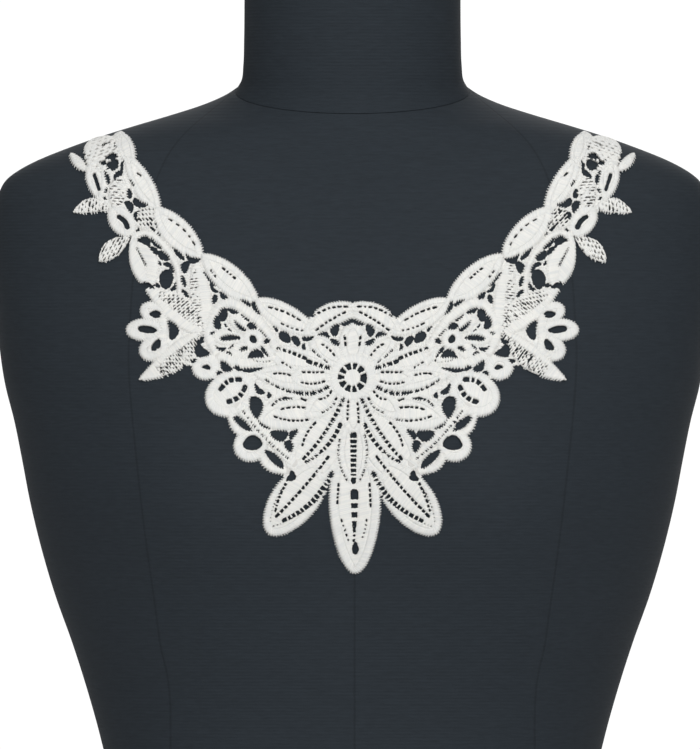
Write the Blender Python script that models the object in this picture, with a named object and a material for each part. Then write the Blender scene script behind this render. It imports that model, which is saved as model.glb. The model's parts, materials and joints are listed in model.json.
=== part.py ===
"""Embroidered lace neckline laid on a dress form: every piece at its real size, in metres, +Z up.

The form faces -Y and stands on its flat underside at the origin. The lace is drawn once, for one half,
on squared paper, and each drawn shape is then laid on the form's surface as a raised wall with its gaps
cut through.
"""
from collections import namedtuple
from math import log, pi

import bpy
import numpy as np
from mathutils import Vector
from mathutils.geometry import delaunay_2d_cdt

MM = 0.001

# Squared paper of the lace drawing: x runs right and y runs down, in squares.
SQUARE = 0.52 * MM
MIDDLE_X = 352.5
FLOWER_Y = 378.0
FLOWER_HEIGHT = 403.0 * MM

# Lace wall.
CLEARANCE = 0.75 * MM
EDGE_THICKNESS = 1.1 * MM
PADDING = 1.0 * MM
PADDING_REACH = 3.2 * MM
SEAM_GAP = 0.3 * MM
LEAST_GAP = 4.0 * MM
BAR_WIDTH = 2.6
LEAF_STEPS = 7
ROUND_STEPS = 12
BACKING_GRID = 4.5 * MM
CORNER_PARTING = 0.12 * MM
WELD = 0.12 * MM

# Dress form.
FORM_SEGMENTS_FRONT = 30
FORM_SEGMENTS_BACK = 20
BUST_APEX_X = 82.0 * MM
BUST_APEX_HEIGHT = 338.0 * MM
BUST_FULLNESS = 20.0 * MM
BUST_WIDTH = 44.0 * MM
BUST_RISE = 50.0 * MM
NECK_SEAM_SLOPE = 0.24
NECK_CAP_THICKNESS = 4.0 * MM
BASE_BOARD_THICKNESS = 8.0 * MM
RIDGE_BAND = 5.0 * MM
# The form stands a little behind its own line, so that its base centre is the middle of its box.
SETBACK = 5.87 * MM

Section = namedtuple("Section", "height half_width front back square slope")
SECTIONS = [
    Section(8.3, 158, 104, 101, 2.3, 0),
    Section(40, 162, 108, 105, 2.3, 0),
    Section(80, 158, 107, 103, 2.3, 0),
    Section(115, 147.5, 102, 97.5, 2.3, 0),
    Section(143, 136, 95.5, 90, 2.3, 0),
    Section(163, 129.6, 91, 86, 2.3, 0),
    Section(180, 127, 88.6, 84, 2.3, 0),
    Section(196, 127.8, 88.2, 83.5, 2.3, 0),
    Section(214, 131.8, 89.4, 84, 2.3, 0),
    Section(240, 139, 92, 85, 2.3, 0),
    Section(265, 147, 95, 87, 2.3, 0),
    Section(289, 155.6, 98, 89, 2.3, 0),
    Section(314, 163, 101, 91, 2.35, 0),
    Section(339, 169, 103, 93, 2.4, 0),
    Section(360, 173, 103, 95, 2.4, 0),
    Section(380, 177, 102, 96, 2.4, 0),
    Section(400, 182, 99, 97, 2.4, 0),
    Section(420, 185, 95, 98, 2.4, 0),
    Section(440, 187, 90, 98, 2.4, 0),
    Section(458, 188.5, 85, 97, 2.35, 0),
    Section(474, 189, 80, 95, 2.3, 0),
    Section(488, 188, 74, 91, 2.25, 0),
    Section(499, 185.5, 69, 86, 2.2, 0),
    Section(508, 180, 64, 81, 2.1, 0),
    Section(516, 167, 60, 76, 2.1, 0.02),
    Section(523, 150, 57, 72, 2.05, 0.04),
    Section(529, 133, 54.5, 68, 2, 0.06),
    Section(534.5, 115, 52.5, 65, 2, 0.08),
    Section(539.5, 97, 51, 62, 2, 0.11),
    Section(544, 81, 50, 60, 2, 0.15),
    Section(548.5, 69, 49.5, 58.5, 2, 0.19),
    Section(552.5, 61.5, 49, 57.5, 2, NECK_SEAM_SLOPE),
]
NECK_SECTIONS = [
    Section(552.8, 61.2, 48.7, 57.2, 2, NECK_SEAM_SLOPE),
    Section(558, 58.4, 48, 55.5, 2, 0.19),
    Section(567, 57.2, 48.5, 54, 2, 0.12),
    Section(580, 56.8, 50, 53, 2, 0.05),
    Section(600, 56.6, 52, 52.5, 2, 0),
    Section(624, 56.6, 53, 52.5, 2, 0),
]

# Motifs of the left half. Points are in squares of the drawing, widths too. A leaf runs from its root to
# its tip, bows to the left of that way, is widest at the share "fullest" of its length, and ends blunt
# where "blunt" is small.
Leaf = namedtuple("Leaf", "name root_x root_y tip_x tip_y width bow fullest blunt")
LEAVES = [
    Leaf("hook", 88, 172, 69, 153, 10, 1, 0.5, 0.7),
    Leaf("crown", 104, 176, 98, 129, 38, 0, 0.6, 0.5),
    Leaf("crown_petal", 119, 128, 130, 168, 17, 0, 0.5, 0.5),
    Leaf("crown_bud", 112, 145, 124, 122, 12, 0, 0.5, 0.6),
    Leaf("inner_petal_1", 128, 158, 160, 211, 23, -1, 0.5, 0.6),
    Leaf("inner_petal_2", 156, 209, 202, 257, 29.5, -0.5, 0.5, 0.55),
    Leaf("inner_petal_3", 202, 255, 258, 304, 27.5, -0.5, 0.5, 0.6),
    Leaf("scallop_1", 255, 301, 319, 335, 25, -0.5, 0.45, 0.6),
    Leaf("scallop_2", 304, 335, 363, 310, 21, 6, 0.5, 0.55),
    Leaf("bud_1", 90, 158, 100, 200, 24, 0, 0.42, 0.6),
    Leaf("net_leaf_1", 116, 211, 118, 175, 18, 0, 0.5, 0.6),
    Leaf("net_leaf_2", 112, 210, 72, 213, 15, -6, 0.5, 0.8),
    Leaf("net_leaf_3", 131, 237, 99, 262, 18, -2, 0.55, 0.75),
    Leaf("bud_3", 133, 235, 151, 287, 26.5, 1, 0.56, 0.55),
    Leaf("upright_leaf", 205, 337, 195, 258, 21, 0, 0.45, 0.7),
    Leaf("wing_upper", 204, 334, 145, 289, 28, -3.4, 0.42, 0.85),
    Leaf("wing_lower", 203, 332, 138, 381, 24, 4.5, 0.42, 0.85),
    Leaf("rosette_upper", 248, 335, 231, 314, 15, 0, 0.6, 0.55),
    Leaf("rosette_side", 247, 340, 213, 337, 15, 0, 0.6, 0.55),
    Leaf("rosette_lower", 250, 344, 230, 357, 15, 0, 0.6, 0.55),
    Leaf("outer_petal_1", 345, 374, 266, 351, 28, 2, 0.5, 0.6),
    Leaf("outer_petal_2", 345, 384, 254, 374, 25, 0, 0.55, 0.6),
    Leaf("outer_petal_3", 338, 402, 255, 420, 36, 0, 0.5, 0.6),
    Leaf("outer_petal_4", 345, 404, 288, 468, 38, 0, 0.5, 0.55),
    Leaf("outer_petal_5", 350, 410, 318, 482, 30, 0, 0.5, 0.55),
    Leaf("long_petal", 330, 458, 268, 533, 45, -1, 0.54, 0.5),
    Leaf("flower_diagonal_up", 343, 369, 311, 335, 26, 0, 0.55, 0.5),
    Leaf("flower_side", 342, 379, 290, 378, 25, 0, 0.5, 0.5),
    Leaf("flower_diagonal_down", 343, 388, 304, 417, 25, 0, 0.5, 0.5),
]
MIDDLE_LEAVES = [
    Leaf("middle_petal", 354.5, 446, 354.8, 574, 52, 0, 0.42, 0.5),
    Leaf("inner_middle_petal", 353.5, 410, 353.5, 486, 33, 0, 0.55, 0.5),
    Leaf("flower_up", 352.5, 366, 352.5, 323, 27, 0, 0.5, 0.45),
    Leaf("flower_down", 353, 390, 353, 435, 25, 0, 0.5, 0.45),
]

# Rounds are ellipses: half sizes along and across, turned clockwise by "turn" degrees.
Round = namedtuple("Round", "name x y along across turn")
ROUNDS = [
    Round("net_bud", 147, 218, 14, 11, -15),
    Round("bud_2", 121.5, 221.5, 17.5, 11.5, 52),
    Round("fan_upper", 153, 312.5, 13, 10, 20),
    Round("fan_middle", 145, 330, 18.5, 11, 0),
    Round("fan_lower", 154, 349, 14.5, 12, -20),
    Round("rosette_ring", 253, 340, 10.5, 10.5, 0),
    Round("dot_ring", 206, 367, 13.8, 13, 0),
    Round("eye", 231, 394.5, 26, 21.5, -25),
    Round("outer_loop", 250.5, 446, 16.5, 15.5, 0),
]
MIDDLE_ROUNDS = [
    Round("flower_ring", 352.5, 378.3, 24, 24, 0),
]

# Bands follow a line of points at one width.
Band = namedtuple("Band", "name width points")
BANDS = [
    Band("stem", 6, [(133, 235), (146, 231), (157, 242), (168, 254), (176, 268), (178.5, 284), (181, 304)]),
    Band("fan_arc", 10, [(159, 303), (162, 317), (163, 331), (161, 345), (156, 358)]),
    Band("rosette_arch", 8.4, [
        (209, 342), (208.5, 325), (212, 311), (221.5, 303.5), (234, 303.5), (246, 310.5), (257, 320),
        (266, 328.5), (274, 338), (276.5, 350), (268, 361), (250, 364), (231, 362), (216, 354), (209, 342)]),
    Band("slanted_stem", 10.5, [(238, 407), (253, 423), (271, 442), (293, 463)]),
    Band("outer_arc_1", 5.6, [(230, 412), (234, 425), (241, 433), (250, 437)]),
    Band("outer_arc_2", 5.6, [(259, 455), (264, 464), (273, 470), (286, 472)]),
]

# Bars are the thin wrapped threads between motifs: both ends.
Bar = namedtuple("Bar", "x1 y1 x2 y2")
BARS = [
    Bar(102, 160.5, 119, 160.5), Bar(105.5, 159, 106, 169), Bar(104, 169, 110, 173),
    Bar(108, 172.5, 119, 170), Bar(110.5, 172, 111.5, 184), Bar(119, 159, 119.5, 171),
    Bar(118, 171, 127, 170), Bar(104, 187, 110, 186), Bar(103, 195, 110, 194),
    Bar(124, 199.5, 135, 198.5), Bar(132, 187, 134.5, 212), Bar(131, 211, 142, 211),
    Bar(134, 219, 140, 220), Bar(151, 236, 151, 250), Bar(157, 246, 160, 256),
    Bar(149, 247.5, 164, 249.5), Bar(158, 262, 173, 260.5), Bar(164, 261, 172, 276),
    Bar(160, 270, 174, 271), Bar(169, 290, 176, 278), Bar(157, 284, 164, 292),
    Bar(150, 289, 153, 283), Bar(172, 247, 175, 262), Bar(176, 261, 191, 261.5),
    Bar(183, 252, 190, 268), Bar(180, 275, 191, 274), Bar(181, 289, 190, 288),
    Bar(197, 345, 212, 345), Bar(191, 357, 199, 362), Bar(188, 364, 196, 366),
    Bar(212, 294.5, 222, 294), Bar(218, 292, 219, 305), Bar(213, 305, 220, 304),
    Bar(231, 296, 231, 303), Bar(251, 298, 250, 314), Bar(260, 312, 258, 322),
    Bar(220, 304, 229.5, 323), Bar(228, 306, 229, 316), Bar(212, 330, 224, 331),
    Bar(239, 308, 242, 318), Bar(246, 322, 249, 333), Bar(257, 321, 258, 332),
    Bar(264, 338, 275, 336), Bar(262, 345, 274, 346), Bar(226, 352, 229, 361),
    Bar(247, 347, 250, 362), Bar(217, 345, 222, 349), Bar(232, 361, 233, 376),
    Bar(240.5, 364, 241, 376), Bar(219, 360, 222, 376), Bar(264, 364, 265, 376),
    Bar(246, 395.5, 272, 396.5), Bar(266, 391, 266, 400), Bar(257, 381, 256, 390),
    Bar(246, 409, 260, 421), Bar(270, 430, 276, 441), Bar(288, 426, 288.5, 443),
    Bar(279, 445, 296, 439.5), Bar(291, 452, 297, 447), Bar(251, 431, 261, 437),
    Bar(277, 330, 278, 347), Bar(291.5, 330, 292, 350), Bar(300, 332, 300.5, 352),
    Bar(316, 332, 317, 342), Bar(328, 326, 330.5, 340), Bar(326, 337, 342, 336.5),
    Bar(340.5, 314, 341, 330), Bar(300, 343.5, 312, 343.5), Bar(284, 470, 294, 484),
]

# Holes inside the drawn shapes, each a straight-sided outline of its corners.
Hole = namedtuple("Hole", "name corners")
HOLES = [
    Hole("outer_loop", [(244, 442), (248, 437), (254, 434.5), (260, 438), (261.5, 443), (257, 449),
                        (251, 451.5), (246, 449)]),
    Hole("long_petal_root", [(287, 480), (291, 471.5), (296, 477), (290, 482)]),
]
MIDDLE_HOLES = [
    Hole("ladder_1", [(349, 493.5), (359.5, 493.5), (359, 502.5), (350, 502.5)]),
    Hole("ladder_2", [(350, 504.5), (358.5, 504.5), (357.5, 511.5), (351, 511.5)]),
]
# The strap is its own piece above this line across its narrowest stretch.
STRAP_LINE = [(135, 290), (212, 247)]

Finish = namedtuple("Finish", "name colour roughness metallic")
LACE_FINISH = Finish("white_embroidery_thread", (0.86, 0.85, 0.82), 0.75, 0.0)
COVER_FINISH = Finish("charcoal_form_cover", (0.03, 0.037, 0.047), 0.85, 0.0)
BOARD_FINISH = Finish("black_board", (0.02, 0.02, 0.022), 0.6, 0.0)


def metres(sections):
    """The sections as an array of metres: height, half width, front, back, squareness, slope."""
    rows = np.array(sections, float)
    rows[:, :4] *= MM
    return rows


def rows_at(rows, heights):
    """Sections at other heights, on the straight runs between the given ones."""
    return np.column_stack([heights] + [np.interp(heights, rows[:, 0], rows[:, k])
                                        for k in range(1, rows.shape[1])])


def bust(x, height):
    """How far the bust stands out in front of the plain section."""
    side = (np.abs(x) - BUST_APEX_X) / BUST_WIDTH
    rise = (height - BUST_APEX_HEIGHT) / BUST_RISE
    return BUST_FULLNESS * np.exp(-0.5 * (side**2 + rise**2))


def depth(rows, x, front):
    """Y of the form's front or back at x, for each section row; the same shape as x."""
    height, half, ahead, behind, square, _ = (rows[..., k] for k in range(6))
    share = np.clip(1 - np.abs(x / half) ** square, 0, None) ** (1 / square)
    if front:
        return -(ahead + bust(x, height)) * share
    return behind * share


def form_ring(row):
    """Points round one section of the form, from the right side past the front."""
    count = FORM_SEGMENTS_FRONT + FORM_SEGMENTS_BACK
    ahead = np.arange(FORM_SEGMENTS_FRONT) / FORM_SEGMENTS_FRONT * pi
    behind = pi + np.arange(FORM_SEGMENTS_BACK) / FORM_SEGMENTS_BACK * pi
    turn = np.concatenate([ahead, behind])
    power = 2 / row[4]
    x = row[1] * np.sign(np.cos(turn)) * np.abs(np.cos(turn)) ** power
    rows = np.repeat(row[None], count, axis=0)
    y = np.where(turn < pi, depth(rows, x, True), depth(rows, x, False))
    y[0] = y[FORM_SEGMENTS_FRONT] = 0
    return np.column_stack([x, y, row[0] + row[5] * y])


def loft(name, rings, finish):
    """A closed body through rings of the same count, with a flat or leaning cap at each end."""
    count = len(rings[0])
    points = np.concatenate(rings)
    faces = []
    for r in range(len(rings) - 1):
        for k in range(count):
            a, b = r * count + k, r * count + (k + 1) % count
            faces.append((a, b, b + count, a + count))
    top = (len(rings) - 1) * count
    faces.append(tuple(range(count))[::-1])
    faces.append(tuple(range(top, top + count)))
    body = add_object(name, points, faces, finish)
    # The front half of a ring runs from +X towards -Y, so the faces are turned to point out.
    body.data.flip_normals()
    return body


def add_object(name, points, faces, finish):
    mesh = bpy.data.meshes.new(name)
    mesh.from_pydata([tuple(p) for p in points], [], [tuple(int(i) for i in f) for f in faces])
    mesh.validate()
    mesh.shade_smooth()
    mesh.set_sharp_from_angle(angle=pi / 5)
    mesh.materials.append(material(finish))
    body = bpy.data.objects.new(name, mesh)
    bpy.context.scene.collection.objects.link(body)
    return body


def material(finish):
    known = bpy.data.materials.get(finish.name)
    if known:
        return known
    made = bpy.data.materials.new(finish.name)
    made.use_nodes = True
    shader = made.node_tree.nodes["Principled BSDF"]
    shader.inputs["Base Color"].default_value = (*finish.colour, 1)
    shader.inputs["Roughness"].default_value = finish.roughness
    shader.inputs["Metallic"].default_value = finish.metallic
    return made


class FormSurface:
    """The form's skin by x and by height as seen from the front; past the shoulder ridge it runs on over
    the back at the stretch that it has at the ridge."""

    XS = np.linspace(-160, 160, 161) * MM
    LEVELS = 420

    def __init__(self):
        heights = np.linspace(280 * MM, SECTIONS[-1].height * MM, self.LEVELS)
        rows = rows_at(metres(SECTIONS), heights)
        self.seen = np.linspace(290, 580, 581) * MM
        self.table = np.zeros((len(self.XS), len(self.seen), 3))
        for k, x in enumerate(self.XS):
            self.table[k] = self.line_at(x, rows)

    def line_at(self, x, rows):
        inside = rows[rows[:, 1] > abs(x) + 0.05 * MM]
        at = np.full(len(inside), x)
        front_y, back_y = depth(inside, at, True), depth(inside, at, False)
        front = np.column_stack([front_y, inside[:, 0] + inside[:, 5] * front_y])
        back = np.column_stack([back_y, inside[:, 0] + inside[:, 5] * back_y])[::-1]
        line = np.concatenate([front, back])
        length = np.concatenate([[0], np.cumsum(np.hypot(*np.diff(line, axis=0).T))])
        bend = int(np.argmax(line[:, 1] > line[:, 1].max() - RIDGE_BAND))
        stretch = (length[bend] - length[bend - 4]) / (line[bend, 1] - line[bend - 4, 1])
        seen = np.where(np.arange(len(line)) <= bend, line[:, 1],
                        line[bend, 1] + (length - length[bend]) / stretch)
        y = np.interp(self.seen, seen, line[:, 0])
        z = np.interp(self.seen, seen, line[:, 1])
        return np.column_stack([np.full(len(y), x), y, z])

    def place(self, points, lift):
        """Points of the drawing, in metres right of the middle and up, on the skin and lifted off it."""
        def at(x, up):
            u = np.clip((x - self.XS[0]) / (self.XS[1] - self.XS[0]), 0, len(self.XS) - 1.001)
            v = np.clip((up - self.seen[0]) / (self.seen[1] - self.seen[0]), 0, len(self.seen) - 1.001)
            i, j = u.astype(int), v.astype(int)
            s, t = (u - i)[:, None], (v - j)[:, None]
            grid = self.table
            return ((1 - s) * ((1 - t) * grid[i, j] + t * grid[i, j + 1])
                    + s * ((1 - t) * grid[i + 1, j] + t * grid[i + 1, j + 1]))

        step = 1.5 * MM
        x, up = points[:, 0], points[:, 1]
        sideways = at(x + step, up) - at(x - step, up)
        upwards = at(x, up + step) - at(x, up - step)
        out = np.cross(sideways, upwards)
        out /= np.linalg.norm(out, axis=1)[:, None]
        return at(x, up) + out * lift[:, None]


def drawn(points):
    """Squares of the drawing as metres right of the middle line and up from the form's base."""
    points = np.asarray(points, float)
    return np.column_stack([(points[:, 0] - MIDDLE_X) * SQUARE,
                            (FLOWER_Y - points[:, 1]) * SQUARE + FLOWER_HEIGHT])


def counterclockwise(outline):
    x, y = outline[:, 0], outline[:, 1]
    area = (x * np.roll(y, -1) - np.roll(x, -1) * y).sum()
    return outline if area > 0 else outline[::-1]


def leaf_outline(leaf, steps=LEAF_STEPS):
    root = np.array([leaf.root_x, leaf.root_y], float)
    run = np.array([leaf.tip_x, leaf.tip_y], float) - root
    left = np.array([run[1], -run[0]]) / np.hypot(*run)
    t = (1 - np.cos(pi * np.arange(steps + 1) / steps)) / 2
    half = leaf.width / 2 * np.sin(pi * t ** (log(0.5) / log(leaf.fullest))) ** leaf.blunt
    axis = root + t[:, None] * run + (4 * leaf.bow * t * (1 - t))[:, None] * left
    one = axis + half[:, None] * left
    other = axis - half[:, None] * left
    return np.concatenate([one, other[-2:0:-1]])


def leaf_spine(leaf):
    outline = leaf_outline(leaf)
    steps = LEAF_STEPS
    one, other = outline[1:steps], outline[:steps:-1]
    return (one + other)[1:-1:2] / 2


def round_outline(shape, steps=ROUND_STEPS):
    turn = 2 * pi * np.arange(steps) / steps
    tilt = np.radians(shape.turn)
    x, y = shape.along * np.cos(turn), shape.across * np.sin(turn)
    return np.column_stack([shape.x + x * np.cos(tilt) - y * np.sin(tilt),
                            shape.y + x * np.sin(tilt) + y * np.cos(tilt)])


def band_outlines(points, width):
    """One four-cornered outline for each run of a band; neighbours share their mitred ends."""
    line = np.array(points, float)
    run = np.diff(line, axis=0)
    run /= np.hypot(run[:, 0], run[:, 1])[:, None]
    closed = np.allclose(line[0], line[-1])
    before = np.concatenate([run[-1:] if closed else run[:1], run])
    after = np.concatenate([run, run[:1] if closed else run[-1:]])
    middle = before + after
    middle /= np.hypot(middle[:, 0], middle[:, 1])[:, None]
    side = np.column_stack([middle[:, 1], -middle[:, 0]])
    reach = width / 2 / np.clip((middle * after).sum(1), 0.5, 1)
    one, other = line + side * reach[:, None], line - side * reach[:, None]
    return [np.array([one[k], one[k + 1], other[k + 1], other[k]]) for k in range(len(line) - 1)]


def mirrored(outline):
    return np.column_stack([2 * MIDDLE_X - outline[:, 0], outline[:, 1]])[::-1]


def lace_shapes():
    """All outlines of the lace in squares, those that are cut out of it, and the spines of its leaves."""
    half = [leaf_outline(leaf) for leaf in LEAVES] + [round_outline(shape) for shape in ROUNDS]
    for band in BANDS:
        half += band_outlines(band.points, band.width)
    for bar in BARS:
        half += band_outlines([(bar.x1, bar.y1), (bar.x2, bar.y2)], BAR_WIDTH)
    whole = half + [mirrored(outline) for outline in half]
    whole += [leaf_outline(leaf) for leaf in MIDDLE_LEAVES]
    whole += [round_outline(shape, 20) for shape in MIDDLE_ROUNDS]
    holes = [np.array(hole.corners, float) for hole in HOLES]
    holes += [mirrored(hole) for hole in holes] + [np.array(hole.corners, float) for hole in MIDDLE_HOLES]
    spines = [leaf_spine(leaf) for leaf in LEAVES]
    spines += [mirrored(spine) for spine in spines] + [leaf_spine(leaf) for leaf in MIDDLE_LEAVES]
    return whole, holes, np.concatenate(spines)


def triangulate(points, edges, outlines):
    """Triangles that keep every edge and outline: points, triangles, and the outlines over each."""
    corners = [Vector((float(x), float(y))) for x, y in points]
    found = delaunay_2d_cdt(corners, edges, outlines, 0, WELD)
    flat = np.array([(p.x, p.y) for p in found[0]])
    return flat, np.array(found[2]), found[5]


def neighbours(triangles):
    """For each triangle side, the triangle beyond it, or -1."""
    owner = {}
    for t, (a, b, c) in enumerate(triangles):
        for one, two in ((a, b), (b, c), (c, a)):
            owner[one, two] = t
    return np.array([[owner.get((b, a), -1), owner.get((c, b), -1), owner.get((a, c), -1)]
                     for a, b, c in triangles])


def areas(flat, triangles):
    a, b, c = (flat[triangles[:, k]] for k in range(3))
    return ((b - a)[:, 0] * (c - a)[:, 1] - (b - a)[:, 1] * (c - a)[:, 0]) / 2


def groups(kept, beyond, value):
    """Groups of joined triangles whose kept value is the given one."""
    label = np.full(len(kept), -1)
    found = []
    for start in np.flatnonzero(kept == value):
        if label[start] >= 0:
            continue
        label[start] = len(found)
        group, waiting = [start], [start]
        while waiting:
            for t in beyond[waiting.pop()]:
                if t >= 0 and kept[t] == value and label[t] < 0:
                    label[t] = len(found)
                    group.append(t)
                    waiting.append(t)
        found.append(np.array(group))
    return found


def close_small_gaps(flat, triangles, kept):
    """Fills every gap narrower than the least that is cut, and drops crumbs off the main piece."""
    beyond = neighbours(triangles)
    size = np.abs(areas(flat, triangles))
    for group in groups(kept, beyond, False):
        if (beyond[group] < 0).any():
            continue
        rim = 0.0
        for t in group:
            for k in range(3):
                if kept[beyond[t, k]]:
                    side = flat[triangles[t, k]] - flat[triangles[t, (k + 1) % 3]]
                    rim += np.hypot(*side)
        if 4 * size[group].sum() / rim < LEAST_GAP:
            kept[group] = True
    pieces = groups(kept, beyond, True)
    largest = max(pieces, key=lambda group: size[group].sum())
    kept[:] = False
    kept[largest] = True
    return kept


def part_touching_corners(flat, triangles):
    """Gives each fan of triangles that meets others only at a corner a corner of its own."""
    at = {}
    for t, corners in enumerate(triangles):
        for corner in corners:
            at.setdefault(int(corner), []).append(t)
    flat = list(flat)
    triangles = triangles.copy()
    for corner, around in at.items():
        fans = []
        left = set(around)
        while left:
            fan = [left.pop()]
            for t in fan:
                joined = [o for o in left if len(set(triangles[t]) & set(triangles[o])) == 2]
                left -= set(joined)
                fan += joined
            fans.append(fan)
        if len(fans) == 1:
            continue
        here = np.array(flat[corner])
        for n, fan in enumerate(fans):
            middle = np.mean([flat[i] for t in fan for i in triangles[t]], axis=0)
            away = (middle - here) / np.hypot(*(middle - here))
            moved = here + away * CORNER_PARTING
            if n == 0:
                flat[corner] = moved
                continue
            flat.append(moved)
            for t in fan:
                triangles[t][triangles[t] == corner] = len(flat) - 1
    return np.array(flat), triangles


def rim_sides(triangles):
    """Sides of the triangles that have no neighbour, in the triangles' own sense."""
    sides = {(a, b) for tri in triangles for a, b in zip(tri, np.roll(tri, -1))}
    return [(int(a), int(b)) for a, b in sides if (b, a) not in sides]


def outline_distance(points, outline):
    """Distance from each point to an outline, zero outside it."""
    best = np.full(len(points), np.inf)
    odd = np.zeros(len(points), bool)
    for a, b in zip(outline, np.roll(outline, -1, axis=0)):
        run = b - a
        share = np.clip(((points - a) @ run) / max(run @ run, 1e-18), 0, 1)
        best = np.minimum(best, np.hypot(*(points - a - share[:, None] * run).T))
        crosses = (a[1] > points[:, 1]) != (b[1] > points[:, 1])
        rise = b[1] - a[1] if b[1] != a[1] else 1.0
        odd ^= crosses & (points[:, 0] < (points[:, 1] - a[1]) / rise * run[0] + a[0])
    return np.where(odd, best, 0)


def top_lift(points, outlines):
    """Thickness of the lace over each point: thin at a shape's edge, padded towards its middle."""
    deepest = np.zeros(len(points))
    for outline in outlines:
        deepest = np.maximum(deepest, outline_distance(points, outline))
    share = np.clip(deepest / PADDING_REACH, 0, 1)
    return EDGE_THICKNESS + PADDING * np.sqrt(1 - (1 - share) ** 2)


def backing(flat, rim):
    """A plain underside within the same rim, with a coarse grid of points that keeps it on the form."""
    used = sorted({i for side in rim for i in side})
    index = {i: n for n, i in enumerate(used)}
    points = flat[used]
    low, high = points.min(0), points.max(0)
    xs = np.arange(low[0] + BACKING_GRID / 2, high[0], BACKING_GRID)
    ys = np.arange(low[1] + BACKING_GRID / 2, high[1], BACKING_GRID)
    grid = np.array([(x, y) for x in xs for y in ys])
    sides = [(index[a], index[b]) for a, b in rim]
    a, b = points[[s[0] for s in sides]], points[[s[1] for s in sides]]
    run = b - a
    keep = []
    for n, p in enumerate(grid):
        share = np.clip(((p - a) * run).sum(1) / np.maximum((run * run).sum(1), 1e-18), 0, 1)
        near = np.hypot(*(p - a - share[:, None] * run).T).min()
        crosses = (a[:, 1] > p[1]) != (b[:, 1] > p[1])
        hit = p[0] < (p[1] - a[:, 1]) / np.where(run[:, 1] == 0, 1, run[:, 1]) * run[:, 0] + a[:, 0]
        if near > 1.5 * MM and (crosses & hit).sum() % 2:
            keep.append(n)
    return used, points, grid[keep], sides


def inside_rim(centres, points, sides):
    a, b = points[[s[0] for s in sides]], points[[s[1] for s in sides]]
    run = b - a
    inside = np.zeros(len(centres), bool)
    for n, p in enumerate(centres):
        crosses = (a[:, 1] > p[1]) != (b[:, 1] > p[1])
        hit = p[0] < (p[1] - a[:, 1]) / np.where(run[:, 1] == 0, 1, run[:, 1]) * run[:, 0] + a[:, 0]
        inside[n] = (crosses & hit).sum() % 2
    return inside


def lace_wall(name, flat, triangles, outlines, surface):
    """The kept triangles of the drawing as a closed wall on the form, raised on its outer side."""
    flat, triangles = part_touching_corners(flat, triangles)
    used = np.unique(triangles)
    renumber = np.zeros(len(flat), int)
    renumber[used] = np.arange(len(used))
    flat, triangles = flat[used], renumber[triangles]
    rim = rim_sides(triangles)
    rim_points, plain, extra, sides = backing(flat, rim)
    corners = [Vector((float(x), float(y))) for x, y in np.concatenate([plain, extra])]
    found = delaunay_2d_cdt(corners, sides, [], 0, 0.0)
    under_flat = np.array([(p.x, p.y) for p in found[0]])
    source = [ids[0] for ids in found[3]]
    under = np.array(found[2])
    under = under[np.abs(areas(under_flat, under)) > 1e-14]
    under = under[inside_rim(under_flat[under].mean(axis=1), plain, sides)]
    top = surface.place(flat, CLEARANCE + top_lift(flat, outlines))
    bottom = surface.place(under_flat, np.full(len(under_flat), CLEARANCE))
    below = {rim_points[ids]: n for n, ids in enumerate(source) if ids < len(rim_points)}
    shift = len(top)
    faces = [tuple(t) for t in triangles]
    faces += [tuple(int(i) + shift for i in t[::-1]) for t in under]
    for a, b in rim:
        faces.append((b, a, below[a] + shift))
        faces.append((b, below[a] + shift, below[b] + shift))
    return add_object(name, np.concatenate([top, bottom]), faces, LACE_FINISH)


def side_of_line(points, line):
    (ax, ay), (bx, by) = line
    return (bx - ax) * (points[:, 1] - ay) - (by - ay) * (points[:, 0] - ax)


def strap_lines():
    """The two edges of the narrow gap between strap and front, in metres, for the left and right side."""
    made = []
    for line in (np.array(STRAP_LINE, float), mirrored(np.array(STRAP_LINE, float))):
        a, b = drawn(line)
        across = np.array([-(b - a)[1], (b - a)[0]]) / np.hypot(*(b - a)) * SEAM_GAP / 2
        made += [(a + across, b + across), (a - across, b - across)]
    return made


def build_lace(surface):
    outlines, holes, spines = lace_shapes()
    outlines = [counterclockwise(drawn(outline)) for outline in outlines]
    holes = [counterclockwise(drawn(hole)) for hole in holes]
    points, faces = [], []
    for outline in outlines + holes:
        faces.append(list(range(len(points), len(points) + len(outline))))
        points += list(outline)
    edges = []
    lines = strap_lines()
    for a, b in lines:
        edges.append((len(points), len(points) + 1))
        points += [a, b]
    points += list(drawn(spines))
    flat, triangles, over = triangulate(points, edges, faces)
    turned = areas(flat, triangles) < 0
    triangles[turned] = triangles[turned][:, ::-1]
    kept = np.array([any(f < len(outlines) for f in ids) and not any(f >= len(outlines) for f in ids)
                     for ids in over])
    kept &= np.abs(areas(flat, triangles)) > 1e-13
    kept = close_small_gaps(flat, triangles, kept)
    centre = flat[triangles].mean(axis=1)
    left_upper, left_lower, right_upper, right_lower = lines
    pieces = {
        "lace_strap_left": (side_of_line(centre, left_upper) > 0) & (centre[:, 0] < 0),
        "lace_strap_right": (side_of_line(centre, right_upper) > 0) & (centre[:, 0] > 0),
        "lace_front": (((side_of_line(centre, left_lower) < 0) & (centre[:, 0] <= 0))
                       | ((side_of_line(centre, right_lower) < 0) & (centre[:, 0] > 0))),
    }
    for name, part in pieces.items():
        chosen = kept & part
        largest = max(groups(chosen, neighbours(triangles), True),
                      key=lambda group: np.abs(areas(flat, triangles[group])).sum())
        lace_wall(name, flat, triangles[largest], outlines, surface)


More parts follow.
